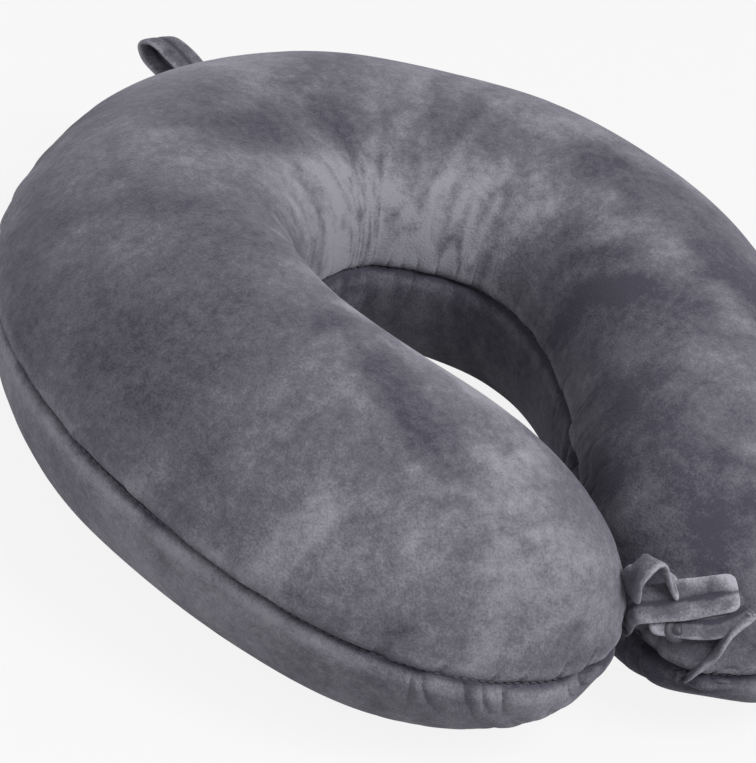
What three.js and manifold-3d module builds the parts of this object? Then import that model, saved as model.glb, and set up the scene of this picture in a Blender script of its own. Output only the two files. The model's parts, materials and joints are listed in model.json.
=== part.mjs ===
// A U shaped travel neck pillow: a moulded foam core in a thin sleeve, inside a velour cover of two
// panels that meet at one seam, with a hanging loop at the back, a strap at each tip and a zip in
// the seam. Millimetres, +Z up. The pillow lies on its underside, the middle of its back is at +Y
// and it opens towards -Y. The right half's crest line is mirrored to the left one, and each arm has
// its own fullness and leans its own way, as the soft arms have come to lie.
import * as THREE from "three";
import Module from "manifold-3d";

const wasm = await Module();
wasm.setup();

const radians = THREE.MathUtils.degToRad;
const quarterTurn = radians(90);
const halfTurn = radians(180);
const fullTurn = radians(360);

// Crest line in plan, from the middle of the back to a tip: a round back, then one bent arm.
// Places are measured from the middle of the back's circle.
const backRadius = 72.1;
const backArcDegrees = 28.9;
const tipInset = 24;
const tipReach = 185.8;
const tipTurnDegrees = 108.8;
const armHandleShare = 0.609;
const tipHandleShare = 0.092;

// Distance from the crest line to the outer edge of the seam, at the back and at the tip. The two
// sizes between them pull the edge outwards or inwards on its way. The left arm has its own.
const backOuter = 56.8;
const shoulderOuter = 49.7;
const armOuter = 77.5;
const tipOuter = 36.1;
const leftShoulderOuter = 40.1;
const leftArmOuter = 82.4;
const leftTipOuter = 39.5;

// Distance from the crest line to the inner edge of the seam, given the same way
const backInner = 61.5;
const shoulderInner = 33.7;
const armInner = 46.9;
const tipInner = 54.7;
const leftShoulderInner = 28.9;
const leftArmInner = 45.7;
const leftTipInner = 51.6;

// Height of the crown over the seam, and depth of the underside below it, given the same way
const backCrown = 44.9;
const shoulderCrown = 56.9;
const armCrown = 56.8;
const tipCrown = 42;
const leftShoulderCrown = 63;
const leftArmCrown = 53.2;
const leftTipCrown = 47.3;
const backDepth = 57.2;
const armDepth = 52.5;
const tipDepth = 29.7;
const leftArmDepth = 54.7;
const leftTipDepth = 39;

// How far each tip leans to the right and forward, towards the open side
const leftLeanAcross = 0.5;
const leftLeanForward = -3.6;
const rightLeanAcross = 3;
const rightLeanForward = 2.9;

// How far back from its end a tip starts to round off
const tipRounding = 97.1;

// Roundness of an outline as the power of a superellipse, where 2 is an ellipse
const outerPower = 1.633;
const innerPower = 2.637;
const undersidePower = 2.134;
const tipPower = 2.486;
const leftTipOuterPower = 1.553;
const leftTipInnerPower = 2.931;
const leftTipUndersidePower = 2.224;
const leftTipPower = 2.583;

// The pillow's own weight flattens it where it rests
const restFlat = 0.5;

// Layers
const velourThickness = 2;
const sleeveThickness = 0.8;
const clearance = 0.3;
const rootClearance = 0.8;

// Zip in the outer edge of the seam, on the right of the back. Its start, length and tapers are
// measured on the crest line, and the seam is longer there.
const zipStart = 14;
const zipLength = 54;
const zipTaper = 6;
const zipSlotHeight = 9;
const hemThickness = 0.9;
const tapeWidth = 8;
const tapeThickness = 0.6;
const tapeEndShare = 0.15;
const toothPitch = 3.2;
const toothLength = 1.2;
const toothReach = 0.6;
const chainHeight = 5;
const chainThickness = 1.5;
const chainMargin = 6;
const stopLength = 2.2;
const sliderLength = 10;
const sliderWall = 0.9;
const slideClearance = 0.5;
const bridgeLength = 6.6;
const bridgeWidth = 1.8;
const bridgeBar = 0.9;
const bridgeRoom = 1.8;
const pullerLength = 24;
const pullerWidth = 5.4;
const pullerThickness = 1;
const pullerBar = 1.4;
const pullerWindow = 5;

// Straps, folded from the cover's velour and sewn into the seam near the tips. The left one rises
// to an arch and comes down over the right tip. The right one comes out of the seam, bends up and
// turns left under it. Across is to the right, forward is towards the open side of the U, both from
// the strap's root.
const strapWidth = 13;
const strapThickness = 3.6;
const bandChamferShare = 0.3;
const strapEndShare = 0.6;
const pressedShare = 0.5;
const pressedPieces = 3;
const leftRootShare = 0.924;
const archAcross = -1.5;
const archForward = 9;
const archHeight = 31;
const archRadius = 5;
const tabStartAcross = 14.5;
const tabStartForward = 14.5;
const tabStartHeight = 17.5;
const tabEndAcross = 27.5;
const tabEndForward = 21.5;
const tabEndHeight = 21;
const tabSlopeDegrees = 40;
const rightRootShare = 0.978;
const bendAcross = -4;
const bendForward = 11;
const bendHeight = -4;
const riseAcross = 1;
const riseForward = 11.5;
const riseHeight = 7.5;
const turnAcross = 3;
const turnForward = 7;
const turnHeight = 15.5;
const underAcross = -6;
const underForward = 1.5;
const underHeight = 15.5;
const underEndAcross = -18;
const underEndForward = -2;
const underEndHeight = 17;
const tipSlopeDegrees = 40;
const settleShare = 0.4;

// Hanging loop
const loopWidth = 13;
const loopBandThickness = 2.4;
const loopLength = 35;
const loopSwell = 10;
const loopRoom = 5.4;
const loopRiseDegrees = 12;
const loopLeanDegrees = 7;

// Snap fastener
const snapRadius = 4.5;
const snapThickness = 1.2;
const snapRimShare = 0.6;
const snapFromEnd = 7;
const studRadius = 2;
const studHeight = 1.2;

// Detail of the mesh
const zipPieces = 6;
const armPieces = 9;
const tipPieces = 6;
const rowPieces = 12;
const coarseStep = 2;
const strapPieces = 18;
const snapSides = 20;
const weldDigits = 4;

const velour = new THREE.MeshStandardMaterial({ color: 0x6b6a73, roughness: 0.9, metalness: 0 });
const sleeveCloth = new THREE.MeshStandardMaterial({ color: 0x3a3a3e, roughness: 0.85, metalness: 0 });
const foam = new THREE.MeshStandardMaterial({ color: 0xd8d2c0, roughness: 0.95, metalness: 0 });
const tapeCloth = new THREE.MeshStandardMaterial({ color: 0x4b4a52, roughness: 0.8, metalness: 0 });
const toothPlastic = new THREE.MeshStandardMaterial({ color: 0x3c3b42, roughness: 0.4, metalness: 0 });
const zipMetal = new THREE.MeshStandardMaterial({ color: 0x8d8d92, roughness: 0.35, metalness: 1 });

const pillow = new THREE.Group();

function add(name, geometry, material) {
  const mesh = new THREE.Mesh(geometry, material);
  mesh.name = name;
  pillow.add(mesh);
}

// A body from a list of corner places, three for each triangle
function bodyOf(corners) {
  const geometry = new THREE.BufferGeometry().setFromPoints(corners);
  geometry.computeVertexNormals();
  return geometry;
}

// Two triangles between four corners, without the ones that a pole has drawn to a line
function pushQuad(corners, a, b, c, d) {
  for (const [p, q, r] of [[a, b, c], [a, c, d]]) {
    if (!p.equals(q) && !q.equals(r) && !r.equals(p)) {
      corners.push(p, q, r);
    }
  }
}

// Crest line of the right half
const backArc = radians(backArcDegrees);
const backArcLength = backRadius * backArc;
const tipTurn = radians(tipTurnDegrees);
const armStart = new THREE.Vector2(Math.sin(backArc), Math.cos(backArc)).multiplyScalar(backRadius);
const armEnd = new THREE.Vector2(tipInset, -tipReach);
const armStartWay = new THREE.Vector2(Math.cos(backArc), -Math.sin(backArc));
const armEndWay = new THREE.Vector2(Math.cos(tipTurn), -Math.sin(tipTurn));
const armSpan = armStart.distanceTo(armEnd);
const arm = new THREE.CubicBezierCurve(
  armStart,
  armStart.clone().addScaledVector(armStartWay, armHandleShare * armSpan),
  armEnd.clone().addScaledVector(armEndWay, -tipHandleShare * armSpan),
  armEnd,
);
const armLength = arm.getLength();
const crestLength = backArcLength + armLength;
const tipStart = crestLength - tipRounding;

// A place on the crest line, and the direction out of the U there
function crestAt(distance) {
  if (distance <= backArcLength) {
    const angle = distance / backRadius;
    return {
      x: backRadius * Math.sin(angle),
      y: backRadius * Math.cos(angle),
      outX: Math.sin(angle),
      outY: Math.cos(angle),
    };
  }
  const share = Math.min((distance - backArcLength) / armLength, 1);
  const place = arm.getPointAt(share);
  const way = arm.getTangentAt(share);
  return { x: place.x, y: place.y, outX: -way.y, outY: way.x };
}

// A size that changes smoothly from the back to the tip. It starts level, because the two halves
// of the pillow meet at the back.
function sizeAlong(share, back, ...others) {
  let values = [back, back, ...others];
  while (values.length > 1) {
    const before = values;
    values = before.slice(1).map((value, i) => THREE.MathUtils.lerp(before[i], value, share));
  }
  return values[0];
}

function superellipse(part, power) {
  return Math.sign(part) * Math.pow(Math.abs(part), 2 / power);
}

// Stations along the right half, from the middle of the back to the tip: distance on the crest line,
// and on the rounded tip the share of its length
const zipEnd = zipStart + zipLength;
const rightStations = [];

function addStations(from, to, pieces) {
  for (let i = 0; i < pieces; i += 1) {
    rightStations.push({ distance: THREE.MathUtils.lerp(from, to, i / pieces), tipShare: 0 });
  }
}

addStations(0, zipStart - zipTaper, 1);
const slotFirst = rightStations.length;
addStations(zipStart - zipTaper, zipStart, 1);
addStations(zipStart, zipEnd, zipPieces);
addStations(zipEnd, zipEnd + zipTaper, 1);
const slotLast = rightStations.length;
addStations(zipEnd + zipTaper, tipStart, armPieces);
for (let i = 0; i <= tipPieces; i += 1) {
  rightStations.push({ distance: tipStart, tipShare: Math.sin((quarterTurn * i) / tipPieces) });
}

// The whole U, from the left tip over the back to the right tip
const stations = [
  ...rightStations.slice(1).reverse().map((station) => ({ ...station, side: -1 })),
  ...rightStations.map((station, i) => ({
    ...station,
    side: 1,
    hemmed: i >= slotFirst && i <= slotLast,
    slotOpen: i > slotFirst && i < slotLast,
  })),
];

// What an arm's sections are made from. A power changes from the back's to the tip's.
const rightArm = {
  outer: [backOuter, shoulderOuter, armOuter, tipOuter],
  inner: [backInner, shoulderInner, armInner, tipInner],
  crown: [backCrown, shoulderCrown, armCrown, tipCrown],
  under: [backDepth, armDepth, tipDepth],
  outerPower: [outerPower],
  innerPower: [innerPower],
  undersidePower: [undersidePower],
  tipPower: tipPower,
  leanAcross: rightLeanAcross,
  leanForward: rightLeanForward,
};
const leftArm = {
  outer: [backOuter, leftShoulderOuter, leftArmOuter, leftTipOuter],
  inner: [backInner, leftShoulderInner, leftArmInner, leftTipInner],
  crown: [backCrown, leftShoulderCrown, leftArmCrown, leftTipCrown],
  under: [backDepth, leftArmDepth, leftTipDepth],
  outerPower: [outerPower, leftTipOuterPower],
  innerPower: [innerPower, leftTipInnerPower],
  undersidePower: [undersidePower, leftTipUndersidePower],
  tipPower: leftTipPower,
  leanAcross: leftLeanAcross,
  leanForward: leftLeanForward,
};

// Sizes of the cross-section at a station
function sectionAt({ distance, tipShare, side }) {
  const share = (distance + tipShare * tipRounding) / crestLength;
  const sizes = side < 0 ? leftArm : rightArm;
  return {
    outer: sizeAlong(share, ...sizes.outer),
    inner: sizeAlong(share, ...sizes.inner),
    crown: sizeAlong(share, ...sizes.crown),
    under: sizeAlong(share, ...sizes.under),
    outerRound: sizeAlong(share, ...sizes.outerPower),
    innerRound: sizeAlong(share, ...sizes.innerPower),
    underRound: sizeAlong(share, ...sizes.undersidePower),
    swell: Math.pow(1 - Math.pow(tipShare, sizes.tipPower), 1 / sizes.tipPower),
  };
}

// A place on a layer of the pillow. depth is how far the layer lies under the cover's outside, and
// lift is how far its edge keeps off the middle of the seam.
function skin(station, angle, below, depth, lift) {
  const { outer, inner, crown, under, outerRound, innerRound, underRound, swell } = sectionAt(station);
  const crest = crestAt(station.distance + station.tipShare * (tipRounding - depth));
  const across = Math.cos(angle);
  const topRound = across < 0 ? innerRound : outerRound;
  const power = below ? underRound : topRound;
  const width = (across < 0 ? inner : outer) - depth;
  const height = (below ? under : crown) - depth - lift;
  const out = width * swell * superellipse(across, power);
  const rise = height * swell * superellipse(Math.sin(angle), power) + (below ? -lift : lift);
  const z = depth > 0 ? under + rise : Math.max(under + rise, restFlat);
  const x = station.side * (crest.x + out * crest.outX);
  const y = crest.y + out * crest.outY;
  const { leanAcross, leanForward } = station.side < 0 ? leftArm : rightArm;
  const lean = Math.pow(Math.max(-y / tipReach, 0), 2);
  return new THREE.Vector3(x + leanAcross * lean, y - leanForward * lean, z - restFlat);
}

// Angles of the cross-section: over the crown from the outer to the inner edge of the seam, then
// round the underside back to the outer edge, with a row at each edge of the flat
const flatHalfAngle = Math.acos(Math.pow(1 - restFlat / backDepth, undersidePower / 2));
const crownAngles = [];
for (let i = 0; i <= rowPieces; i += 1) {
  crownAngles.push((halfTurn * i) / rowPieces);
}
const sidePieces = rowPieces / 2 - 1;
const undersideAngles = [halfTurn + quarterTurn];
for (let i = sidePieces; i >= 0; i -= 1) {
  const angle = ((quarterTurn - flatHalfAngle) * i) / sidePieces;
  undersideAngles.unshift(halfTurn + angle);
  undersideAngles.push(fullTurn - angle);
}

// How far round the section a place at a given height over or under the seam stands
function angleAtHeight(station, below, height) {
  const { crown, under, outerRound, underRound } = sectionAt(station);
  const share = (height - clearance / 2) / ((below ? under : crown) - clearance / 2);
  const angle = Math.asin(Math.pow(share, (below ? underRound : outerRound) / 2));
  return below ? fullTurn - angle : angle;
}

// One layer of a panel: a row of places for each station. Beside the zip the panel's edge stands
// back from the seam.
function panelLayer(angles, below, depth, hemDepth) {
  const seamRow = below ? angles.length - 1 : 0;
  return stations.map((station) =>
    angles.map((angle, row) => {
      const inHem = station.hemmed && Math.abs(row - seamRow) <= 1;
      const atSlot = station.slotOpen && row === seamRow;
      const turned = atSlot ? angleAtHeight(station, below, zipSlotHeight / 2) : angle;
      return skin(station, turned, below, inHem ? hemDepth : depth, clearance / 2);
    }),
  );
}

function thinOut(layer) {
  return layer.map((row) => row.filter((place, j) => j % coarseStep === 0));
}

// A panel: its outside, its inside and the edge that joins them along the seam
function panel(outside, inside) {
  const corners = [];
  const last = outside[0].length - 1;
  for (let i = 0; i < outside.length - 1; i += 1) {
    for (let j = 0; j < last; j += 1) {
      const k = j + 1;
      pushQuad(corners, outside[i][j], outside[i][k], outside[i + 1][k], outside[i + 1][j]);
      pushQuad(corners, inside[i][j], inside[i + 1][j], inside[i + 1][k], inside[i][k]);
    }
    pushQuad(corners, outside[i][0], outside[i + 1][0], inside[i + 1][0], inside[i][0]);
    pushQuad(corners, outside[i + 1][last], outside[i][last], inside[i][last], inside[i + 1][last]);
  }
  return bodyOf(corners);
}

// A body that is closed all round the section
function roll(layer) {
  const corners = [];
  for (let i = 0; i < layer.length - 1; i += 1) {
    layer[i].forEach((place, j) => {
      const k = (j + 1) % layer[i].length;
      pushQuad(corners, place, layer[i][k], layer[i + 1][k], layer[i + 1][j]);
    });
  }
  return bodyOf(corners);
}

const sleeveDepth = velourThickness + clearance;
const coreDepth = sleeveDepth + sleeveThickness + clearance;

function coverPanel(angles, below) {
  const outside = panelLayer(angles, below, 0, 0);
  const inside = panelLayer(angles, below, velourThickness, hemThickness);
  return panel(outside, inside);
}

function sleevePanel(angles, below) {
  const insideDepth = sleeveDepth + sleeveThickness;
  const outside = stations.map((station) =>
    angles.map((angle) => skin(station, angle, below, sleeveDepth, clearance / 2)),
  );
  const inside = stations.map((station) =>
    angles.map((angle) => skin(station, angle, below, insideDepth, clearance / 2)),
  );
  return panel(thinOut(outside), thinOut(inside));
}

add("cover_top_panel", coverPanel(crownAngles, false), velour);
add("cover_bottom_panel", coverPanel(undersideAngles, true), velour);
add("inner_sleeve_top", sleevePanel(crownAngles, false), sleeveCloth);
add("inner_sleeve_bottom", sleevePanel(undersideAngles, true), sleeveCloth);
const coreLayer = stations.map((station) => [
  ...crownAngles.map((angle) => skin(station, angle, false, coreDepth, 0)),
  ...undersideAngles.slice(1, -1).map((angle) => skin(station, angle, true, coreDepth, 0)),
]);
add("foam_core", roll(thinOut(coreLayer)), foam);

// The zip's line: places in the seam at its stations, and how far each lies along the zip
const zipStations = rightStations
  .slice(slotFirst, slotLast + 1)
  .map((station) => ({ ...station, side: 1 }));
const zipLine = zipStations.map((station) => skin(station, 0, false, 0, 0));
const zipReach = [0];
for (let i = 1; i < zipLine.length; i += 1) {
  zipReach.push(zipReach[i - 1] + zipLine[i].distanceTo(zipLine[i - 1]));
}
const openStart = zipReach[1];
const openEnd = zipReach[zipReach.length - 2];

// A place by the zip: how far along it, how high over the middle of the seam, how far outwards
function zipPlace(along, height, outward) {
  let i = 1;
  while (i < zipReach.length - 1 && zipReach[i] < along) {
    i += 1;
  }
  const share = (along - zipReach[i - 1]) / (zipReach[i] - zipReach[i - 1]);
  const near = crestAt(zipStations[i - 1].distance);
  const far = crestAt(zipStations[i].distance);
  const place = zipLine[i - 1].clone().lerp(zipLine[i], share);
  place.x += outward * THREE.MathUtils.lerp(near.outX, far.outX, share);
  place.y += outward * THREE.MathUtils.lerp(near.outY, far.outY, share);
  place.z += height;
  return place;
}

// A slab along the zip: cuts are places along it, levels are heights, and filled tells which of the
// cells between them are solid
function zipSlab(cuts, levels, filled, front, back) {
  const corners = [];
  const has = (i, j) => i >= 0 && j >= 0 && i < cuts.length - 1 && j < levels.length - 1 && filled(i, j);
  const outer = (i, j) => zipPlace(cuts[i], levels[j], front);
  const inner = (i, j) => zipPlace(cuts[i], levels[j], back);
  const wall = (i, j, k, l) => pushQuad(corners, outer(i, j), outer(k, l), inner(k, l), inner(i, j));
  for (let i = 0; i < cuts.length - 1; i += 1) {
    for (let j = 0; j < levels.length - 1; j += 1) {
      if (!has(i, j)) {
        continue;
      }
      const k = i + 1;
      const l = j + 1;
      pushQuad(corners, outer(k, j), outer(i, j), outer(i, l), outer(k, l));
      pushQuad(corners, inner(i, j), inner(k, j), inner(k, l), inner(i, l));
      if (!has(i, j - 1)) {
        wall(i, j, k, j);
      }
      if (!has(i + 1, j)) {
        wall(k, j, k, l);
      }
      if (!has(i, j + 1)) {
        wall(k, l, i, l);
      }
      if (!has(i - 1, j)) {
        wall(i, l, i, j);
      }
    }
  }
  return bodyOf(corners);
}

const tapeDepth = hemThickness + clearance;
const chainBack = clearance - tapeDepth;
const chainFront = chainBack + chainThickness;
const spineEdge = toothReach + clearance;
const tapeOverrun = tapeEndShare * zipTaper;

// The tape lies against the inside of the hem, from the middle of the seam outwards
function tape(below) {
  const shares = [];
  const ends = [openStart - tapeOverrun, openEnd + tapeOverrun];
  const cuts = [ends[0], ...zipReach.slice(1, -1), ends[1]];
  cuts.forEach((along) => {
    let i = 1;
    while (i < zipReach.length - 1 && zipReach[i] < along) {
      i += 1;
    }
    shares.push({ i, share: (along - zipReach[i - 1]) / (zipReach[i] - zipReach[i - 1]) });
  });
  const edge = (station, height, depth) =>
    skin(station, angleAtHeight(station, below, height), below, depth, clearance / 2);
  const row = (height, depth) =>
    shares.map(({ i, share }) =>
      edge(zipStations[i - 1], height, depth).lerp(edge(zipStations[i], height, depth), share),
    );
  const nearOut = row(clearance, tapeDepth);
  const nearIn = row(clearance, tapeDepth + tapeThickness);
  const farOut = row(tapeWidth, tapeDepth);
  const farIn = row(tapeWidth, tapeDepth + tapeThickness);
  const ring = below ? [nearOut, nearIn, farIn, farOut] : [nearOut, farOut, farIn, nearIn];
  const corners = [];
  for (let i = 0; i < cuts.length - 1; i += 1) {
    ring.forEach((side, j) => {
      const next = ring[(j + 1) % ring.length];
      pushQuad(corners, side[i], next[i], next[i + 1], side[i + 1]);
    });
  }
  const end = cuts.length - 1;
  pushQuad(corners, ring[3][0], ring[2][0], ring[1][0], ring[0][0]);
  pushQuad(corners, ring[0][end], ring[1][end], ring[2][end], ring[3][end]);
  return bodyOf(corners);
}

add("zip_tape_upper", tape(false), tapeCloth);
add("zip_tape_lower", tape(true), tapeCloth);

// Teeth: a spine along the tape with teeth that reach past the middle of the seam
const chainStart = openStart + chainMargin;
const chainEnd = openEnd - chainMargin;
const toothCount = Math.floor((chainEnd - chainStart - toothLength) / toothPitch);

function teeth(upwards, offset) {
  const cuts = [];
  for (let i = 0; i < toothCount; i += 1) {
    cuts.push(chainStart + offset + i * toothPitch, chainStart + offset + i * toothPitch + toothLength);
  }
  const levels = [-toothReach, spineEdge, chainHeight / 2];
  const turned = upwards ? levels : levels.map((level) => -level).reverse();
  const spine = upwards ? 1 : 0;
  return zipSlab(cuts, turned, (i, j) => j === spine || i % 2 === 0, chainFront, chainBack);
}

add("zip_teeth_upper", teeth(true, 0), toothPlastic);
add("zip_teeth_lower", teeth(false, toothPitch / 2), toothPlastic);

// Stops at the two ends of the teeth
const teethEnd = chainStart + (toothCount - 1) * toothPitch + toothPitch / 2 + toothLength;
const topStop = teethEnd + clearance;

function stop(from, low, high) {
  return zipSlab([from, from + stopLength], [low, high], () => true, chainFront, chainBack);
}

add("zip_top_stop_upper", stop(topStop, clearance, chainHeight / 2), zipMetal);
add("zip_top_stop_lower", stop(topStop, -chainHeight / 2, -clearance), zipMetal);
const bottomStop = chainStart - clearance - stopLength;
add("zip_bottom_stop", stop(bottomStop, -chainHeight / 2, chainHeight / 2), zipMetal);

// The slider at the closed end of the zip. Its own frame has X along the zip, Y outwards and Z up.
const sliderAt = teethEnd - clearance - sliderLength / 2;
const sliderPlace = zipPlace(sliderAt, 0, 0);
const sliderBack = zipPlace(sliderAt - sliderLength / 2, 0, 0);
const sliderWay = zipPlace(sliderAt + sliderLength / 2, 0, 0).sub(sliderBack);
const sliderFrame = new THREE.Matrix4()
  .makeRotationZ(Math.atan2(sliderWay.y, sliderWay.x))
  .setPosition(sliderPlace);
const plateBack = chainFront + slideClearance;
const plateFront = plateBack + sliderWall;
const flangeInside = chainHeight / 2 + slideClearance;
const flangeOutside = flangeInside + sliderWall;
const flangeBack = slideClearance - tapeDepth;

function extrude(points, holePoints, length) {
  const shape = new THREE.Shape(points.map(([x, y]) => new THREE.Vector2(x, y)));
  if (holePoints.length > 0) {
    shape.holes.push(new THREE.Path(holePoints.map(([x, y]) => new THREE.Vector2(x, y))));
  }
  const geometry = new THREE.ExtrudeGeometry(shape, { depth: length, bevelEnabled: false });
  return geometry.translate(0, 0, -length / 2);
}

function toManifold(geometry) {
  const places = geometry.getAttribute("position");
  const keys = new Map();
  const corners = [];
  const triangles = [];
  for (let i = 0; i < places.count; i += 1) {
    const place = new THREE.Vector3().fromBufferAttribute(places, i).toArray();
    const key = place.map((value) => value.toFixed(weldDigits)).join();
    if (!keys.has(key)) {
      keys.set(key, keys.size);
      corners.push(...place);
    }
    triangles.push(keys.get(key));
  }
  const mesh = new wasm.Mesh({
    numProp: 3,
    vertProperties: Float32Array.from(corners),
    triVerts: Uint32Array.from(triangles),
  });
  return new wasm.Manifold(mesh);
}

function fromManifold(solid) {
  const mesh = solid.getMesh();
  const corners = [];
  mesh.triVerts.forEach((vertex) => {
    corners.push(new THREE.Vector3().fromArray(mesh.vertProperties, vertex * mesh.numProp));
  });
  return bodyOf(corners);
}

// Channel over the chain: the profile has X outwards and Y up
const channel = extrude(
  [
    [plateFront, -flangeOutside],
    [plateFront, flangeOutside],
    [flangeBack, flangeOutside],
    [flangeBack, flangeInside],
    [plateBack, flangeInside],
    [plateBack, -flangeInside],
    [flangeBack, -flangeInside],
    [flangeBack, -flangeOutside],
  ],
  [],
  sliderLength,
).applyMatrix4(new THREE.Matrix4().makeBasis(
  new THREE.Vector3(0, 1, 0),
  new THREE.Vector3(0, 0, 1),
  new THREE.Vector3(1, 0, 0),
));

// Bridge over the plate that the puller's bar turns in: the profile has X along the zip, Y outwards
const bridgeTop = plateFront + bridgeRoom;
const bridgeFoot = plateFront - sliderWall / 2;
const legInside = bridgeLength / 2 - bridgeBar;
const bridge = extrude(
  [
    [-bridgeLength / 2, bridgeFoot],
    [-legInside, bridgeFoot],
    [-legInside, bridgeTop],
    [legInside, bridgeTop],
    [legInside, bridgeFoot],
    [bridgeLength / 2, bridgeFoot],
    [bridgeLength / 2, bridgeTop + bridgeBar],
    [-bridgeLength / 2, bridgeTop + bridgeBar],
  ],
  [],
  bridgeWidth,
);
const slider = fromManifold(toManifold(channel).add(toManifold(bridge)));
add("zip_slider", slider.applyMatrix4(sliderFrame), zipMetal);

// Puller: a flat tab with a window, whose end bar lies under the bridge. It lies along the zip.
const pullerHinge = plateFront + bridgeRoom / 2;
const pullerEnd = pullerThickness / 2;
const windowHalf = pullerWidth / 2 - pullerBar;
const puller = extrude(
  [
    [pullerEnd, -pullerWidth / 2],
    [pullerEnd, pullerWidth / 2],
    [pullerEnd - pullerLength, pullerWidth / 2],
    [pullerEnd - pullerLength, -pullerWidth / 2],
  ],
  [
    [-pullerEnd, -windowHalf],
    [-pullerEnd - pullerWindow, -windowHalf],
    [-pullerEnd - pullerWindow, windowHalf],
    [-pullerEnd, windowHalf],
  ],
  pullerThickness,
)
  .rotateX(quarterTurn)
  .translate(0, pullerHinge, 0);
add("zip_puller", puller.applyMatrix4(sliderFrame), zipMetal);

// A folded band along a path: at each of its stations a flat section with bevelled corners, pressed
// thin where it is sewn into the seam. sideOf gives the way across the band from the way along it
// and the share of the path.
function band(places, sideOf, width, thickness, pieces, endShare, bothSewn = false) {
  const path = new THREE.CatmullRomCurve3(places, false, "centripetal");
  const frames = [];
  for (let i = 0; i <= pieces; i += 1) {
    const share = i / pieces;
    const middle = path.getPointAt(share);
    const way = path.getTangentAt(share);
    const side = sideOf(way, path.getUtoTmapping(share));
    side.addScaledVector(way, -side.dot(way)).normalize();
    frames.push({ middle, way, side, face: new THREE.Vector3().crossVectors(way, side) });
  }
  const rings = frames.map(({ middle, side, face }, i) => {
    const narrow = i === pieces ? endShare : 1;
    const halfWidth = (narrow * width) / 2;
    const fromSeam = bothSewn ? Math.min(i, pieces - i) : i;
    const full = Math.min(fromSeam / pressedPieces, 1);
    const halfThickness = (THREE.MathUtils.lerp(pressedShare, 1, full) * thickness) / 2;
    const bevel = bandChamferShare * halfThickness * 2;
    return [
      [halfWidth, -halfThickness + bevel],
      [halfWidth, halfThickness - bevel],
      [halfWidth - bevel, halfThickness],
      [bevel - halfWidth, halfThickness],
      [-halfWidth, halfThickness - bevel],
      [-halfWidth, -halfThickness + bevel],
      [bevel - halfWidth, -halfThickness],
      [halfWidth - bevel, -halfThickness],
    ].map(([a, b]) => middle.clone().addScaledVector(side, a).addScaledVector(face, b));
  });
  const corners = [];
  for (let i = 0; i < pieces; i += 1) {
    rings[i].forEach((place, j) => {
      const k = (j + 1) % rings[i].length;
      pushQuad(corners, place, rings[i][k], rings[i + 1][k], rings[i + 1][j]);
    });
  }
  for (let j = 1; j < rings[0].length - 1; j += 1) {
    corners.push(rings[0][0], rings[0][j + 1], rings[0][j]);
    corners.push(rings[pieces][0], rings[pieces][j], rings[pieces][j + 1]);
  }
  return { geometry: bodyOf(corners), path, frames };
}

// Where a band is sewn into the seam, just clear of the cover, with the way out of the seam there
// and the way along it. The seam runs straight from each station to the next.
function seamRoot(tipShare, side, angle) {
  const after = rightStations.findIndex((station) => station.tipShare >= tipShare);
  const near = { ...rightStations[after - 1], side };
  const far = { ...rightStations[after], side };
  const share = (tipShare - near.tipShare) / (far.tipShare - near.tipShare);
  const start = skin(near, angle, false, 0, 0);
  const end = skin(far, angle, false, 0, 0);
  const crest = skin(near, quarterTurn, false, 0, 0);
  const place = start.clone().lerp(end, share);
  const along = end.clone().sub(start).normalize();
  const out = new THREE.Vector3(along.y, -along.x, 0);
  out.multiplyScalar(Math.sign(out.dot(start.clone().sub(crest)))).normalize();
  return { place: place.addScaledVector(out, rootClearance), out, along };
}

const up = new THREE.Vector3(0, 0, 1);

function offset(root, across, forward, height) {
  return root.place.clone().add(new THREE.Vector3(across, -forward, height));
}

function beside(root, outward, height) {
  return root.place.clone().addScaledVector(root.out, outward).addScaledVector(up, height);
}

// Left strap: out of the seam, up to the arch, and down to the tab on the right tip
const leftRoot = seamRoot(leftRootShare, -1, halfTurn);
const tabSlope = radians(tabSlopeDegrees);
const tabSide = new THREE.Vector3(0, -Math.cos(tabSlope), -Math.sin(tabSlope));
const leftSide = leftRoot.along.clone().multiplyScalar(Math.sign(leftRoot.along.dot(tabSide)));
const leftStrap = band(
  [
    leftRoot.place,
    beside(leftRoot, strapThickness, strapThickness),
    offset(leftRoot, archAcross - archRadius, archForward, archHeight - archRadius),
    offset(leftRoot, archAcross, archForward, archHeight),
    offset(leftRoot, archAcross + archRadius, archForward, archHeight - archRadius),
    offset(leftRoot, tabStartAcross, tabStartForward, tabStartHeight),
    offset(leftRoot, tabEndAcross, tabEndForward, tabEndHeight),
  ],
  (way, share) => leftSide.clone().lerp(tabSide, share),
  strapWidth,
  strapThickness,
  strapPieces,
  strapEndShare,
);
add("left_strap", leftStrap.geometry, velour);

// Right strap: out of the seam, up past the right tip, and to the left under the tab. Its face lies
// on the slope of the tip.
const rightRoot = seamRoot(rightRootShare, 1, halfTurn);
const tipSlope = radians(tipSlopeDegrees);
const rootFace = up.clone().negate();
const tipFace = new THREE.Vector3(0, -Math.cos(tipSlope), Math.sin(tipSlope));
const rightStrap = band(
  [
    rightRoot.place,
    beside(rightRoot, strapThickness, -strapThickness / 4),
    offset(rightRoot, bendAcross, bendForward, bendHeight),
    offset(rightRoot, riseAcross, riseForward, riseHeight),
    offset(rightRoot, turnAcross, turnForward, turnHeight),
    offset(rightRoot, underAcross, underForward, underHeight),
    offset(rightRoot, underEndAcross, underEndForward, underEndHeight),
  ],
  (way, share) => {
    const settled = THREE.MathUtils.smoothstep(share, 0, settleShare);
    return rootFace.clone().lerp(tipFace, settled).cross(way);
  },
  strapWidth,
  strapThickness,
  strapPieces,
  strapEndShare,
);
add("right_strap", rightStrap.geometry, velour);

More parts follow.
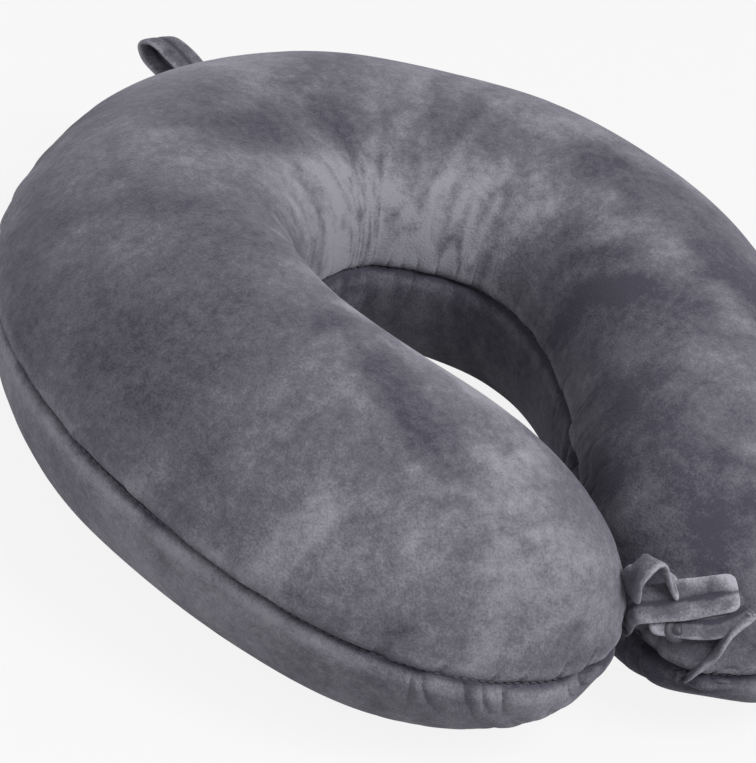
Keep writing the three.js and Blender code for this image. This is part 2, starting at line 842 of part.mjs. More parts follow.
// Hanging loop: a band that goes out from the seam at the back and comes back under itself
const backPlace = skin({ distance: 0, tipShare: 0, side: 1 }, 0, false, 0, 0);
const loopRise = radians(loopRiseDegrees);
const loopLean = radians(loopLeanDegrees);
const loopRound = (loopRoom + loopBandThickness) / 2;
const loopFoot = (pressedShare * loopBandThickness + clearance) / 2;

// A place on the loop, which rises and leans to the left more and more on its way out
function loopPlace(out, high) {
  const share = (out - rootClearance) / loopLength;
  const turn = new THREE.Euler(loopRise * share, 0, loopLean * share, "ZYX");
  return new THREE.Vector3(0, out, high).applyEuler(turn).add(backPlace);
}

const loop = band(
  [
    loopPlace(rootClearance, loopFoot),
    loopPlace(loopSwell, loopRound),
    loopPlace(loopLength - loopRound, loopRound),
    loopPlace(loopLength, 0),
    loopPlace(loopLength - loopRound, -loopRound),
    loopPlace(loopSwell, -loopRound),
    loopPlace(rootClearance, -loopFoot),
  ],
  () => new THREE.Vector3(1, 0, 0),
  loopWidth,
  loopBandThickness,
  strapPieces,
  1,
  true,
);
add("back_loop", loop.geometry, velour);

// Snap fastener: a socket under the end of the left strap, a stud on the end of the right strap
function snapOn(strap, faceSign, height) {
  const share = 1 - snapFromEnd / strap.path.getLength();
  const frame = strap.frames[Math.round(share * strapPieces)];
  const out = frame.face.clone().multiplyScalar(faceSign);
  const turn = new THREE.Quaternion().setFromUnitVectors(new THREE.Vector3(0, 1, 0), out);
  const place = frame.middle.clone().addScaledVector(out, strapThickness / 2 + clearance + height);
  return new THREE.Matrix4().compose(place, turn, new THREE.Vector3(1, 1, 1));
}

function lathe(profile) {
  return new THREE.LatheGeometry(profile.map(([x, y]) => new THREE.Vector2(x, y)), snapSides);
}

const snapRim = snapRimShare * snapThickness;
const studRoom = studRadius + clearance;
const socket = lathe([
  [0, 0],
  [snapRadius, 0],
  [snapRadius, snapRim],
  [studRoom + snapThickness, snapThickness],
  [studRoom, snapThickness],
  [studRoom, snapRim / 2],
  [0, snapRim / 2],
]);
add("snap_socket", socket.applyMatrix4(snapOn(leftStrap, 1, 0)), zipMetal);

const stud = lathe([
  [0, 0],
  [snapRadius, 0],
  [snapRadius, snapRim],
  [studRadius + snapThickness, snapThickness],
  [studRadius, snapThickness],
  [studRadius, snapThickness + studHeight],
  [0, snapThickness + studHeight],
]);
add("snap_stud", stud.applyMatrix4(snapOn(rightStrap, 1, 0)), zipMetal);

// The origin goes to the middle of the underside of the whole box
const box = new THREE.Box3().setFromObject(pillow);
const middle = box.getCenter(new THREE.Vector3());
pillow.children.forEach((mesh) => mesh.geometry.translate(-middle.x, -middle.y, -box.min.z));

export default pillow;
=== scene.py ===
import json
import math

import bmesh
import bpy
import numpy as np
from mathutils import Matrix, Vector


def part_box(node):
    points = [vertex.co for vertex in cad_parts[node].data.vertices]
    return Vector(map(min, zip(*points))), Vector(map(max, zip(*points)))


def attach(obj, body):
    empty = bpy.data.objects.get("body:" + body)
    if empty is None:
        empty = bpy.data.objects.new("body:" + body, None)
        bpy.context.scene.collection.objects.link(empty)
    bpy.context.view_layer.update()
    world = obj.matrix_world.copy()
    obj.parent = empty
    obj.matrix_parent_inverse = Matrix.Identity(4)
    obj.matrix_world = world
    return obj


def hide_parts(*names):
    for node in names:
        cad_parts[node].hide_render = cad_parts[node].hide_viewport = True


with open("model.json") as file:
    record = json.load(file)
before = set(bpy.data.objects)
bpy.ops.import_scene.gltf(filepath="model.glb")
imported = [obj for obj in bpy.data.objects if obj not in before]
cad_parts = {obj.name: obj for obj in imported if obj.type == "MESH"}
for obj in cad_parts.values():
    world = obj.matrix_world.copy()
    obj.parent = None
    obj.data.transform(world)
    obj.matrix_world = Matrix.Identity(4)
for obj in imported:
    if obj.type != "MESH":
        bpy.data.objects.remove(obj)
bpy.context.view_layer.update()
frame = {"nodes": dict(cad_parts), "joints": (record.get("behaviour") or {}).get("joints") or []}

bl_info = {
    "name": "U shaped neck pillow",
    "version": (1, 0, 0),
    "blender": (4, 5, 0),
    "location": "View3D > Sidebar > Neck pillow",
    "description": "Dresses the frame of a travel neck pillow in velour",
    "category": "Object",
}

MM = 0.001

# Crest line in plan: a round back, then one bent arm to each side. Millimetres from the middle of
# the back's circle, as on the frame.
BACK_RADIUS = 72.1
BACK_ARC = math.radians(28.9)
TIP_INSET = 24.0
TIP_REACH = 185.8
TIP_TURN = math.radians(108.8)
ARM_HANDLE = 0.609
TIP_HANDLE = 0.092
TIP_ROUNDING = 97.1
TIP_POWER = 2.486
REST_FLAT = 0.5
VELOUR_THICKNESS = 2.0

# Each arm's width outwards and inwards, height and depth of the section, from the back to the tip,
# the powers of its outline, and how far its tip leans to the right and forward. The cloth sags and
# swells a few millimetres off the frame's own sizes.
RIGHT_ARM = {
    "outer": (56.8, 47.1, 75.2, 36.3),
    "inner": (61.5, 33.7, 46.9, 54.7),
    "crown": (44.9, 50.8, 52.4, 41.0),
    "depth": (57.2, 52.5, 31.0),
    "outer_power": (1.633, 1.52),
    "inner_power": (2.637,),
    "under_power": (2.134, 4.0),
    "tip_power": 2.486,
    "lean": (-1.0, 8.3),
}
LEFT_ARM = {
    "outer": (56.8, 37.0, 84.4, 39.7),
    "inner": (61.5, 29.8, 46.5, 52.2),
    "crown": (44.9, 64.6, 57.6, 47.3),
    "depth": (57.2, 54.9, 39.0),
    "outer_power": (1.633, 1.553),
    "inner_power": (2.637, 3.13),
    "under_power": (2.134, 2.224),
    "tip_power": 2.583,
    "lean": (0.2, -4.8),
}

# Zip in the seam, measured on the crest line
ZIP_START = 14.0
ZIP_LENGTH = 54.0
ZIP_TAPER = 6.0
ZIP_SLOT_HALF = 4.5
HEM_DEPTH = 1.2
CHAIN_MARGIN = 6.0
TOOTH_PITCH = 3.2

# Straps and loop, as on the frame
STRAP_WIDTH = 13.0
STRAP_THICKNESS = 3.6
TIP_PIECES = 6
LEFT_ROOT_SHARE = 0.924
RIGHT_ROOT_SHARE = 0.978
ROOT_CLEARANCE = 0.8
LAYER = 2.3
ARCH = (-1.5, 9, 30.5)
ARCH_RADIUS = 5
ARCH_END = (12, 11, 16.5)
TAB_NECK = (-3, 9, 13)
TAB_SHOULDER = (3, 12, 14.6)
TAB_FRONT = (13.1, 16, 17.2)
TAB_END = (27.5, 21.8, 21.4)
TAB_SLOPE = math.radians(40)
RIGHT_WIDTH = 11.6
RIGHT_RISE = (-0.5, 8, 8)
RIGHT_BACK = (2.5, 9, 17)
RIGHT_FOLD = (10, 7.5, 25.5)
RIGHT_FRONT = (1, 6.5, 22)
RIGHT_UNDER = (-6, 3.2, 20.5)
RIGHT_END = (-19, -5, 20)
RIGHT_SLOPE = math.radians(40)
LOOP_THICKNESS = 2.4
LOOP_LENGTH = 34.0
LOOP_SWELL = 10.0
LOOP_ROOM = 5.4
LOOP_RISE = math.radians(3)
LOOP_LEAN = math.radians(7)
LOOP_ASIDE = 5.0

# Where the middle of the back's circle lies: the rearmost corner of the seam stands behind it
BACK_EDGE = max((v.co for v in frame["nodes"]["cover_top_panel"].data.vertices), key=lambda place: place.y)
SHIFT_X = BACK_EDGE.x / MM
SHIFT_Y = BACK_EDGE.y / MM - BACK_RADIUS - RIGHT_ARM["outer"][0]

# Strokes of lighter or darker pile, seen from above: middle, direction of the long side, half length, half width, and
# how light or, below 0, how dark. Millimetres and degrees. Some are brushed pile; the rest are painted highlight and
# painted shade: the light rim along the left arm's inner ridge, the light inside of the back, and dark patches on the
# right arm.
BRUSHED_AND_PAINTED_LIGHT = (
    ((-71, -93), -82, 36, 8, -0.7),
    ((-50, -66), -74, 52, 7, 1.0),
    ((-66, -140), -70, 26, 28, 0.5),
    ((-116, -113), 4, 14, 6, 0.6),
    ((-118, -30), -80, 42, 22, -0.5),
    ((-95, 10), -60, 30, 16, -0.35),
    ((54, -48), -78, 32, 18, -0.9),
    ((26, -106), -72, 34, 17, -1.0),
    ((22, -144), -60, 20, 17, -0.7),
    ((8, 24), -12, 46, 14, 1.25),
    ((-48, -30), -72, 34, 7, 0.9),
    ((-25, 58), 12, 42, 12, -0.8),
    ((60, 28), -45, 34, 15, -0.5),
    ((93, -36), -80, 46, 14, -1.0),
)


# Shape of the pillow

def bezier(points, share):
    """A place on a Bezier curve through any number of control values, by repeated mixing."""
    values = [np.asarray(p, float) + 0.0 * share for p in points]
    while len(values) > 1:
        values = [a + (b - a) * share for a, b in zip(values, values[1:])]
    return values[0]


def size_along(share, side, name):
    """An arm's size that starts level at the back and changes smoothly to the tip."""
    left, right = LEFT_ARM[name], RIGHT_ARM[name]
    return np.where(side < 0, bezier(left[:1] + left, share), bezier(right[:1] + right, share))


def arm_table():
    """Places and directions at even distances along one arm's crest line."""
    start = np.array([math.sin(BACK_ARC), math.cos(BACK_ARC)]) * BACK_RADIUS
    end = np.array([TIP_INSET, -TIP_REACH])
    span = np.linalg.norm(end - start)
    start_way = np.array([math.cos(BACK_ARC), -math.sin(BACK_ARC)])
    end_way = np.array([math.cos(TIP_TURN), -math.sin(TIP_TURN)])
    controls = [start, start + ARM_HANDLE * span * start_way, end - TIP_HANDLE * span * end_way, end]
    share = np.linspace(0, 1, 4001)
    x = bezier([c[0] for c in controls], share)
    y = bezier([c[1] for c in controls], share)
    length = np.concatenate([[0], np.cumsum(np.hypot(np.diff(x), np.diff(y)))])
    even = np.linspace(0, length[-1], 2001)
    return even, np.interp(even, length, x), np.interp(even, length, y)


ARM, ARM_X, ARM_Y = arm_table()
ARM_WAY_X = np.gradient(ARM_X, ARM)
ARM_WAY_Y = np.gradient(ARM_Y, ARM)
BACK_LENGTH = BACK_RADIUS * BACK_ARC
CREST_LENGTH = BACK_LENGTH + ARM[-1]
TIP_START = CREST_LENGTH - TIP_ROUNDING


def crest_at(distance):
    """Place on the crest line and the direction out of the U, for distances along the right half."""
    angle = np.minimum(distance, BACK_LENGTH) / BACK_RADIUS
    on_arm = np.clip(distance - BACK_LENGTH, 0, ARM[-1])
    is_arm = distance > BACK_LENGTH
    x = np.where(is_arm, np.interp(on_arm, ARM, ARM_X), BACK_RADIUS * np.sin(angle))
    y = np.where(is_arm, np.interp(on_arm, ARM, ARM_Y), BACK_RADIUS * np.cos(angle))
    out_x = np.where(is_arm, -np.interp(on_arm, ARM, ARM_WAY_Y), np.sin(angle))
    out_y = np.where(is_arm, np.interp(on_arm, ARM, ARM_WAY_X), np.cos(angle))
    return x, y, out_x, out_y


def power_of(part, power):
    return np.sign(part) * np.abs(part) ** (2.0 / power)


def skin(distance, tip_share, side, angle, below, inset=0.0):
    """Places on the pillow's skin, or on a layer that lies inset millimetres under it."""
    share = (distance + tip_share * TIP_ROUNDING) / CREST_LENGTH
    x, y, out_x, out_y = crest_at(distance + tip_share * (TIP_ROUNDING - inset))
    tip_power = np.where(side < 0, LEFT_ARM["tip_power"], RIGHT_ARM["tip_power"])
    swell = np.clip(1 - tip_share ** tip_power, 0, 1) ** (1 / tip_power)
    across = np.cos(angle)
    inward = across < 0
    if below:
        power = size_along(share, side, "under_power")
    else:
        power = np.where(inward, size_along(share, side, "inner_power"), size_along(share, side, "outer_power"))
    width = np.where(inward, size_along(share, side, "inner"), size_along(share, side, "outer")) - inset
    under = size_along(share, side, "depth")
    height = (under if below else size_along(share, side, "crown")) - inset
    out = width * swell * power_of(across, power)
    z = under + height * swell * power_of(np.sin(angle), power)
    if np.ndim(inset) == 0 and inset == 0:
        z = np.maximum(z, REST_FLAT)
    plan_x = side * (x + out * out_x)
    plan_y = y + out * out_y
    lean = np.maximum(-plan_y / TIP_REACH, 0) ** 2
    lean_x = np.where(side < 0, LEFT_ARM["lean"][0], RIGHT_ARM["lean"][0])
    lean_y = np.where(side < 0, LEFT_ARM["lean"][1], RIGHT_ARM["lean"][1])
    return np.stack([plan_x + lean_x * lean + SHIFT_X, plan_y - lean_y * lean + SHIFT_Y, z - REST_FLAT], axis=-1)


def skin_place(distance, tip_share, side, angle, below=False, inset=0.0):
    """One place on the skin."""
    values = [np.array(float(v)) for v in (distance, tip_share, side, angle)]
    return skin(*values, below, inset)


def station_rows(count):
    """Stations from the left tip over the back to the right tip, evenly spaced on the skin."""
    turn = np.linspace(0, math.pi / 2, 2001)
    tip = np.sin(turn) ** (2 / TIP_POWER)
    swell = np.cos(turn) ** (2 / TIP_POWER)
    length = np.concatenate([[0], np.cumsum(np.hypot(np.diff(tip) * TIP_ROUNDING, np.diff(swell) * 48))])
    total = TIP_START + length[-1]
    along = np.linspace(0, total, count)
    distance = np.minimum(along, TIP_START)
    tip_share = np.interp(along - TIP_START, length, tip)
    tip_share[along <= TIP_START] = 0
    tip_share[-1] = 1
    side = np.ones(count)
    return (
        np.concatenate([distance[:0:-1], distance]),
        np.concatenate([tip_share[:0:-1], tip_share]),
        np.concatenate([-side[:0:-1], side]),
    )


def lengths(points):
    """Running length along the second axis of a grid of places."""
    step = np.linalg.norm(np.diff(points, axis=1), axis=2)
    return np.concatenate([np.zeros((len(points), 1)), np.cumsum(step, axis=1)], axis=1)


def resample(points, shares):
    """The same section lines with points at the given shares of their length."""
    run = lengths(points)
    made = np.empty((len(points), len(shares), 3))
    for i, (line, length) in enumerate(zip(points, run)):
        for axis in range(3):
            made[i, :, axis] = np.interp(shares * length[-1], length, line[:, axis])
    return made


def soften(points, rounds):
    """Evens out each section line between its fixed ends."""
    for _ in range(rounds):
        points[:, 1:-1] += 0.25 * (points[:, :-2] - 2 * points[:, 1:-1] + points[:, 2:])
    return points


def value_noise(t, e, size_t, size_e, seed):
    """Smooth noise from -1 to 1 over two coordinates in millimetres."""
    rng = np.random.default_rng(seed)
    table = rng.uniform(-1, 1, (256, 64))
    a = t / size_t + 128
    b = e / size_e + 16
    i = np.floor(a).astype(int)
    j = np.floor(b).astype(int)
    fa = a - i
    fb = b - j
    fa = fa * fa * (3 - 2 * fa)
    fb = fb * fb * (3 - 2 * fb)
    i0, i1 = i % 256, (i + 1) % 256
    j0, j1 = j % 64, (j + 1) % 64
    low = table[i0, j0] * (1 - fa) + table[i1, j0] * fa
    high = table[i0, j1] * (1 - fa) + table[i1, j1] * fa
    return low * (1 - fb) + high * fb


def bump_shape(x, centre, width):
    """1 at the centre, falling smoothly to 0."""
    return np.exp(-((x - centre) / width) ** 2)


def rising(x, start, end):
    share = np.clip((x - start) / (end - start), 0, 1)
    return share * share * (3 - 2 * share)


class Panel:
    """One velour panel as a grid: rows run from one edge of the seam to the other."""

    def __init__(self, rows, columns, below):
        self.below = below
        distance, tip_share, side = station_rows(rows)
        self.distance, self.tip_share, self.side = distance, tip_share, side
        angles = np.linspace(0, math.pi, 361) + (math.pi if below else 0)
        grid = [a[:, None] for a in (distance, tip_share, side)]
        dense = skin(*grid, angles[None, :], below)
        self.seam_in = dense[:, 0 if below else -1].copy()
        self.seam_out = dense[:, -1 if below else 0].copy()
        even = resample(dense, np.linspace(0, 1, 361))
        even = soften(even, 60)
        even = self.cut_slot(even)
        share = np.linspace(0, 1, columns)
        share = 0.25 * share + 0.75 * (0.5 - 0.5 * np.cos(math.pi * share))
        self.points = resample(even, share)
        run = lengths(self.points)
        first, last = run, run[:, -1:] - run
        self.from_in, self.from_out = (first, last) if below else (last, first)
        self.along_out = self.measure(self.seam_out)
        self.along_in = self.measure(self.seam_in)
        self.rise = np.zeros(self.points.shape[:2])

    def cut_slot(self, lines):
        """Takes the panel's edge back from the seam beside the zip."""
        along = np.where(self.side > 0, self.distance, -1)
        opened = rising(along, ZIP_START - ZIP_TAPER, ZIP_START)
        opened = opened * (1 - rising(along, ZIP_START + ZIP_LENGTH, ZIP_START + ZIP_LENGTH + ZIP_TAPER))
        run = lengths(lines)
        for i in np.nonzero(opened)[0]:
            keep = np.linspace(opened[i] * ZIP_SLOT_HALF * 1.2, run[i, -1], lines.shape[1])
            length = run[i, -1] - run[i][::-1] if self.below else run[i]
            line = lines[i][::-1] if self.below else lines[i]
            cut = np.stack([np.interp(keep, length, line[:, axis]) for axis in range(3)], axis=1)
            lines[i] = cut[::-1] if self.below else cut
        self.opened = opened
        return lines

    def measure(self, seam):
        """Length along an edge of the seam, from the middle of the back, negative to the left."""
        step = np.linalg.norm(np.diff(seam, axis=0), axis=1)
        run = np.concatenate([[0], np.cumsum(step)])
        middle = np.argmax(self.side > 0)
        return (run - run[middle])[:, None]

    def normals(self):
        along = np.gradient(self.points, axis=0)
        across = np.gradient(self.points, axis=1)
        normal = np.cross(across, along)
        size = np.linalg.norm(normal, axis=2, keepdims=True)
        normal = normal / np.maximum(size, 1e-9)
        for end, near in ((0, 1), (-1, -2)):
            mean = normal[near].mean(axis=0)
            normal[end] = mean / np.linalg.norm(mean)
        return normal

    def sculpt(self, looks):
        """Seam groove, rolled edges, puckers and gathers, as a rise of the skin in millimetres."""
        seed = 40 if self.below else 10
        rise = self.rise
        edges = ((self.from_out, self.along_out, True), (self.from_in, self.along_in, False))
        for number, (e, t, outer) in enumerate(edges):
            shut = 1 - self.opened[:, None] if outer else 1
            wobble = 1 + 0.3 * value_noise(t, 0 * t, 9, 1, seed + number)
            rise -= shut * looks.groove * wobble * np.exp(-e / looks.groove_width)
            rise += looks.roll * (e / 6) * np.exp(1 - e / 6)
            reach = looks.pucker_reach * (1 + 0.6 * value_noise(t, 0 * t, 11, 1, seed + 2 + number))
            slant = e * 0.4 * value_noise(t, 0 * t, 60, 1, seed + 4 + number)
            fold = value_noise(t + slant, e, 6.5, 30, seed + 6 + number)
            crease = (1 - np.abs(fold)) ** 6
            fade = np.exp(-e / reach) * (1 - np.exp(-(e / 1.2) ** 2))
            strength = self.pucker_strength(t, outer)
            rise += strength * looks.pucker * fade * (0.9 * fold - 1.1 * crease)
        tip = self.tip_share[:, None] ** 2
        fan = value_noise(self.along_out, self.from_out, 17, 60, seed + 8)
        rise += 0.9 * tip * fan * np.exp(-self.from_out / 40)
        if not self.below:
            back = bump_shape(self.along_in, 0, 55)
            ribs = value_noise(self.along_in * (1 + 0.004 * self.from_in), self.from_in, 7.5, 55, seed + 9)
            rise += looks.rib * back * ribs * np.exp(-((self.from_in - 38) / 34) ** 2)
        soft = value_noise(self.along_out, self.from_out, 48, 52, seed + 10)
        rise += looks.lump * soft
        if self.below:
            flat = rising(self.points[..., 2], 0.5, 12)
            rise *= flat

    def pucker_strength(self, t, outer):
        near_tip = rising(np.abs(t), 210, 330) if outer else rising(np.abs(t), 60, 120)
        patch = 0.55 + 0.45 * value_noise(t, 0 * t, 45, 1, 71 if outer else 72)
        return (0.45 + 0.9 * near_tip) * patch

    def nap_and_painted_light(self):
        """How the pile lies, light where it is brushed up and dark where it is brushed down, with painted shade along
        the seams and on the bottom panel's inner wall, painted highlights beside the seams, and painted highlight and
        shade among the strokes.
        """
        t, e = self.along_out, self.from_out
        seed = 60 if self.below else 20
        drift = 9 * value_noise(t, e, 22, 18, seed)
        broad = value_noise(t + drift, e + drift, 42, 30, seed + 1)
        streak = value_noise(t + 0.5 * e + drift, e, 13, 62, seed + 2)
        small = value_noise(t, e + drift, 9, 7, seed + 3)
        nap_and_painted_light = 0.5 * broad + 0.35 * streak + 0.25 * small
        shut = 1 - self.opened[:, None]
        # Painted shade: a dark line along each seam, where the groove lies.
        nap_and_painted_light = nap_and_painted_light - 1.8 * shut * np.exp(-(e / 1.3) ** 2) - 1.8 * np.exp(-(self.from_in / 1.3) ** 2)
        # Painted highlight: a light band on the lip beside each seam.
        nap_and_painted_light = nap_and_painted_light + 0.5 * shut * bump_shape(e, 4.5, 2.2) + 0.5 * bump_shape(self.from_in, 4.5, 2.2)
        if self.below:
            # The bottom panel a little lighter all over, and painted shade on its inner wall, darkest at the inner
            # seam.
            nap_and_painted_light = nap_and_painted_light + 0.35 - 1.5 * np.exp(-self.from_in / 40)
        else:
            x, y = self.points[..., 0], self.points[..., 1]
            ragged = 5 * value_noise(x, y, 8, 8, seed + 4)
            # Each stroke lightens or darkens the colour: brushed pile, or painted highlight and painted shade.
            for (x0, y0), turn, half_length, half_width, strength in BRUSHED_AND_PAINTED_LIGHT:
                c, s = math.cos(math.radians(turn)), math.sin(math.radians(turn))
                along = np.abs((x - x0) * c + (y - y0) * s) + ragged
                across = np.abs((y - y0) * c - (x - x0) * s) + ragged
                inside = 1 - rising(along, 0.45 * half_length, 1.5 * half_length)
                nap_and_painted_light += strength * inside * (1 - rising(across, 0.35 * half_width, 1.6 * half_width)) * (1 + 0.5 * small)
        return nap_and_painted_light

    def finished(self):
        return self.points + self.rise[..., None] * self.normals()


# Meshes

def grid_faces(rows, columns, first=0, flip=False):
    """Quads of a grid whose vertices are numbered row by row."""
    i, j = np.meshgrid(np.arange(rows - 1), np.arange(columns - 1), indexing="ij")
    a = first + i * columns + j
    quads = np.stack([a, a + 1, a + columns + 1, a + columns], axis=-1).reshape(-1, 4)
    return quads[:, ::-1] if flip else quads


def make_object(name, points, faces, attributes=None, smooth=True, join=2e-6):
    """A mesh object from places in millimetres. Doubled places, as at a pole, are joined."""
    mesh = bpy.data.meshes.new(name)
    flat = [tuple(int(i) for i in face) for face in faces]
    mesh.from_pydata((np.asarray(points, float).reshape(-1, 3) * MM).tolist(), [], flat)
    for key, values in (attributes or {}).items():
        layer = mesh.attributes.new(key, "FLOAT", "POINT")
        layer.data.foreach_set("value", np.asarray(values, np.float32).reshape(-1))
    shell = bmesh.new()
    shell.from_mesh(mesh)
    bmesh.ops.remove_doubles(shell, verts=shell.verts, dist=join)
    bmesh.ops.recalc_face_normals(shell, faces=shell.faces)
    shell.to_mesh(mesh)
    shell.free()
    mesh.polygons.foreach_set("use_smooth", [smooth] * len(mesh.polygons))
    made = bpy.data.objects.new(name, mesh)
    bpy.context.scene.collection.objects.link(made)
    return made


def shell_object(name, outside, inside, outer_nap_and_painted_light=None):
    """A closed shell from an outer grid and a coarser inner one with as many rows."""
    rows, columns = outside.shape[:2]
    inner_columns = inside.shape[1]
    first = rows * columns
    faces = [grid_faces(rows, columns), grid_faces(rows, inner_columns, first, flip=True)]
    i = np.arange(rows - 1)
    start_out, start_in = i * columns, first + i * inner_columns
    end_out, end_in = start_out + columns - 1, start_in + inner_columns - 1
    faces.append(np.stack([start_out, start_out + columns, start_in + inner_columns, start_in], axis=-1))
    faces.append(np.stack([end_out, end_in, end_in + inner_columns, end_out + columns], axis=-1))
    points = np.concatenate([outside.reshape(-1, 3), inside.reshape(-1, 3)])
    if outer_nap_and_painted_light is None:
        outer_nap_and_painted_light = np.zeros((rows, columns))
    nap_and_painted_light = np.concatenate([outer_nap_and_painted_light.reshape(-1), np.zeros(inside.shape[0] * inner_columns)])
    return make_object(name, points, np.concatenate(faces), {"nap_and_painted_light": nap_and_painted_light})


def ring_faces(rings, around, closed=False):
    """Quads between rings of as many places each."""
    i, j = np.meshgrid(np.arange(rings if closed else rings - 1), np.arange(around), indexing="ij")
    k = (j + 1) % around
    n = (i + 1) % rings
    return np.stack([i * around + j, i * around + k, n * around + k, n * around + j], axis=-1).reshape(-1, 4)


def finer_copy(node, name, rounding, steps=3):
    """A merged copy of a CAD solid with its edges rounded."""
    mesh = frame["nodes"][node].data.copy()
    mesh.name = name
    shell = bmesh.new()
    shell.from_mesh(mesh)
    bmesh.ops.remove_doubles(shell, verts=shell.verts, dist=2e-6)
    bmesh.ops.dissolve_limit(shell, angle_limit=math.radians(1), verts=shell.verts, edges=shell.edges)
    sharp = [edge for edge in shell.edges if edge.calc_face_angle(0) > math.radians(28)]
    bmesh.ops.bevel(shell, geom=sharp, offset=rounding * MM, segments=steps, affect="EDGES", clamp_overlap=True)
    bmesh.ops.triangulate(shell, faces=[face for face in shell.faces if len(face.verts) > 4])
    shell.to_mesh(mesh)
    shell.free()
    mesh.materials.clear()
    mesh.polygons.foreach_set("use_smooth", [True] * len(mesh.polygons))
    made = bpy.data.objects.new(name, mesh)
    bpy.context.scene.collection.objects.link(made)
    made.data.set_sharp_from_angle(angle=math.radians(35))
    return made


def place_piece(made, material, body, nodes=()):
    """Gives a piece its finish, the body that it rides on and the nodes that it stands for."""
    made.data.materials.clear()
    made.data.materials.append(material)
    if nodes:
        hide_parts(*nodes)
    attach(made, body)


# Bands

def spline(knots, count):
    """Even places along a smooth line through the given ones, by the centripetal Catmull-Rom rule,
    with the share of the knots passed at each and the running length."""
    knots = np.asarray(knots, float)
    ends = np.vstack([2 * knots[0] - knots[1], knots, 2 * knots[-1] - knots[-2]])
    fine = []
    t = np.linspace(0, 1, 80, endpoint=False)[:, None]
    for a, b, c, d in zip(ends, ends[1:], ends[2:], ends[3:]):
        before, here, after = (max(np.linalg.norm(q - p) ** 0.5, 1e-4) for p, q in ((a, b), (b, c), (c, d)))
        start = ((b - a) / before - (c - a) / (before + here) + (c - b) / here) * here
        end = ((c - b) / here - (d - b) / (here + after) + (d - c) / after) * here
        fine.append(b + start * t + (3 * c - 3 * b - 2 * start - end) * t ** 2 + (2 * b - 2 * c + start + end) * t ** 3)
    fine = np.vstack(fine + [knots[-1:]])
    passed = np.linspace(0, 1, len(fine))
    run = np.concatenate([[0], np.cumsum(np.linalg.norm(np.diff(fine, axis=0), axis=1))])
    even = np.linspace(0, run[-1], count)
    middle = np.stack([np.interp(even, run, fine[:, axis]) for axis in range(3)], axis=1)
    return middle, np.interp(even, run, passed), even


def unit(vectors):
    return vectors / np.maximum(np.linalg.norm(vectors, axis=-1, keepdims=True), 1e-12)


def band_object(name, knots, side_of, width, thickness, seed, crease=0.0, both_sewn=False, gather=0.0,
                end_round=4.0, flare=0.0):
    """A turned and pressed band of velour: rounded edges, a crease where its two folded edges meet,
    thin and wider by the flare where it is sewn into the seam, and a rounded end unless both ends
    are sewn."""
    count = 150
    middle, passed, even = spline(knots, count)
    way = unit(np.gradient(middle, axis=0))
    side = np.stack([side_of(w, p) for w, p in zip(way, passed)])
    side = unit(side - (side * way).sum(axis=1, keepdims=True) * way)
    face = np.cross(way, side)
    total = even[-1]
    across = np.sin(np.linspace(math.pi / 2, -math.pi / 2, 33))
    share = np.concatenate([across, across[-2:0:-1]])
    upper = np.concatenate([np.ones(33), -np.ones(31)])
    from_seam = np.minimum(even, total - even) if both_sewn else even
    pressed = 0.42 + 0.58 * rising(from_seam, 0, 9)
    narrow, thin = np.ones(count), np.ones(count)
    if not both_sewn:
        gone = np.clip((even - total + end_round) / end_round, 0, 1)
        narrow = 1 - (1 - (1 - gone ** 2.4) ** (1 / 2.4)) * 2 * end_round / width
        thin = (1 - gone ** 4) ** 0.5
    narrow = narrow * (1 + flare * np.exp(-from_seam / 7))
    wave = 0.35 * value_noise(even, 0 * even, 9, 1, seed)
    half = 0.5 * thickness * pressed * thin
    edge = (1 - np.abs(share) ** 5) ** 0.5
    lift = half[:, None] * upper * edge
    noise = value_noise(even[:, None] + 0 * share, share * width / 2 + 40 * upper, 5, 4, seed + 1)
    lift = lift + upper * edge * 0.16 * noise * thin[:, None]
    lift = lift - upper * crease * np.exp(-(share * width / 2 / 0.9) ** 2) * (thin * pressed)[:, None]
    pleats = np.sin(share * 9 + seed) * np.exp(-from_seam / 7)[:, None]
    lift = lift + gather * pleats * edge
    out = share * (0.5 * width * narrow + wave * narrow)[:, None]
    rings = middle[:, None] + out[..., None] * side[:, None] + lift[..., None] * face[:, None]
    # Painted highlight along the band's two rounded edges over a random tone, painted shade in the middle crease, and a
    # painted highlight over the last millimetres of the rounded end.
    nap_and_painted_light = 1.15 * np.abs(share) ** 4 - 0.35 + 0.5 * noise
    nap_and_painted_light = nap_and_painted_light - 1.7 * np.exp(-(share * width / 2 / 0.8) ** 2) * (1 if crease else 0)
    if not both_sewn:
        nap_and_painted_light = nap_and_painted_light + (1.2 * rising(even, total - 9, total - 1))[:, None]
    around = len(share)
    faces = ring_faces(count, around).tolist()
    caps = [list(range(around))[::-1], list(range((count - 1) * around, count * around))]
    return make_object(name, rings, faces + caps, {"nap_and_painted_light": nap_and_painted_light})


def seam_root(tip_share, side, angle):
    """Where a band is sewn into the frame's seam, which runs straight between its stations, with the
    way out of the seam there and the way along it."""
    stations = np.sin(np.linspace(0, math.pi / 2, TIP_PIECES + 1))
    after = int(np.argmax(stations >= tip_share))
    near, far = stations[after - 1], stations[after]
    share = (tip_share - near) / (far - near)
    start, end = (skin_place(TIP_START, tip, side, angle) for tip in (near, far))
    crest = skin_place(TIP_START, near, side, math.pi / 2)
    along = unit(end - start)
    out = np.array([along[1], -along[0], 0.0])
    out = unit(out * np.sign(out @ (start - crest)))
    return start + (end - start) * share + out * ROOT_CLEARANCE, out, along


def joint_place(name):
    """Where a strap turns on the frame, in millimetres."""
    found = next(joint for joint in frame["joints"] if joint["name"] == name)
    return np.array(found["pos_m"]) / MM


def offset(root, way):
    """A place across to the right, forward and up from a strap's root on the frame."""
    return root + np.array([way[0], -way[1], way[2]], float)


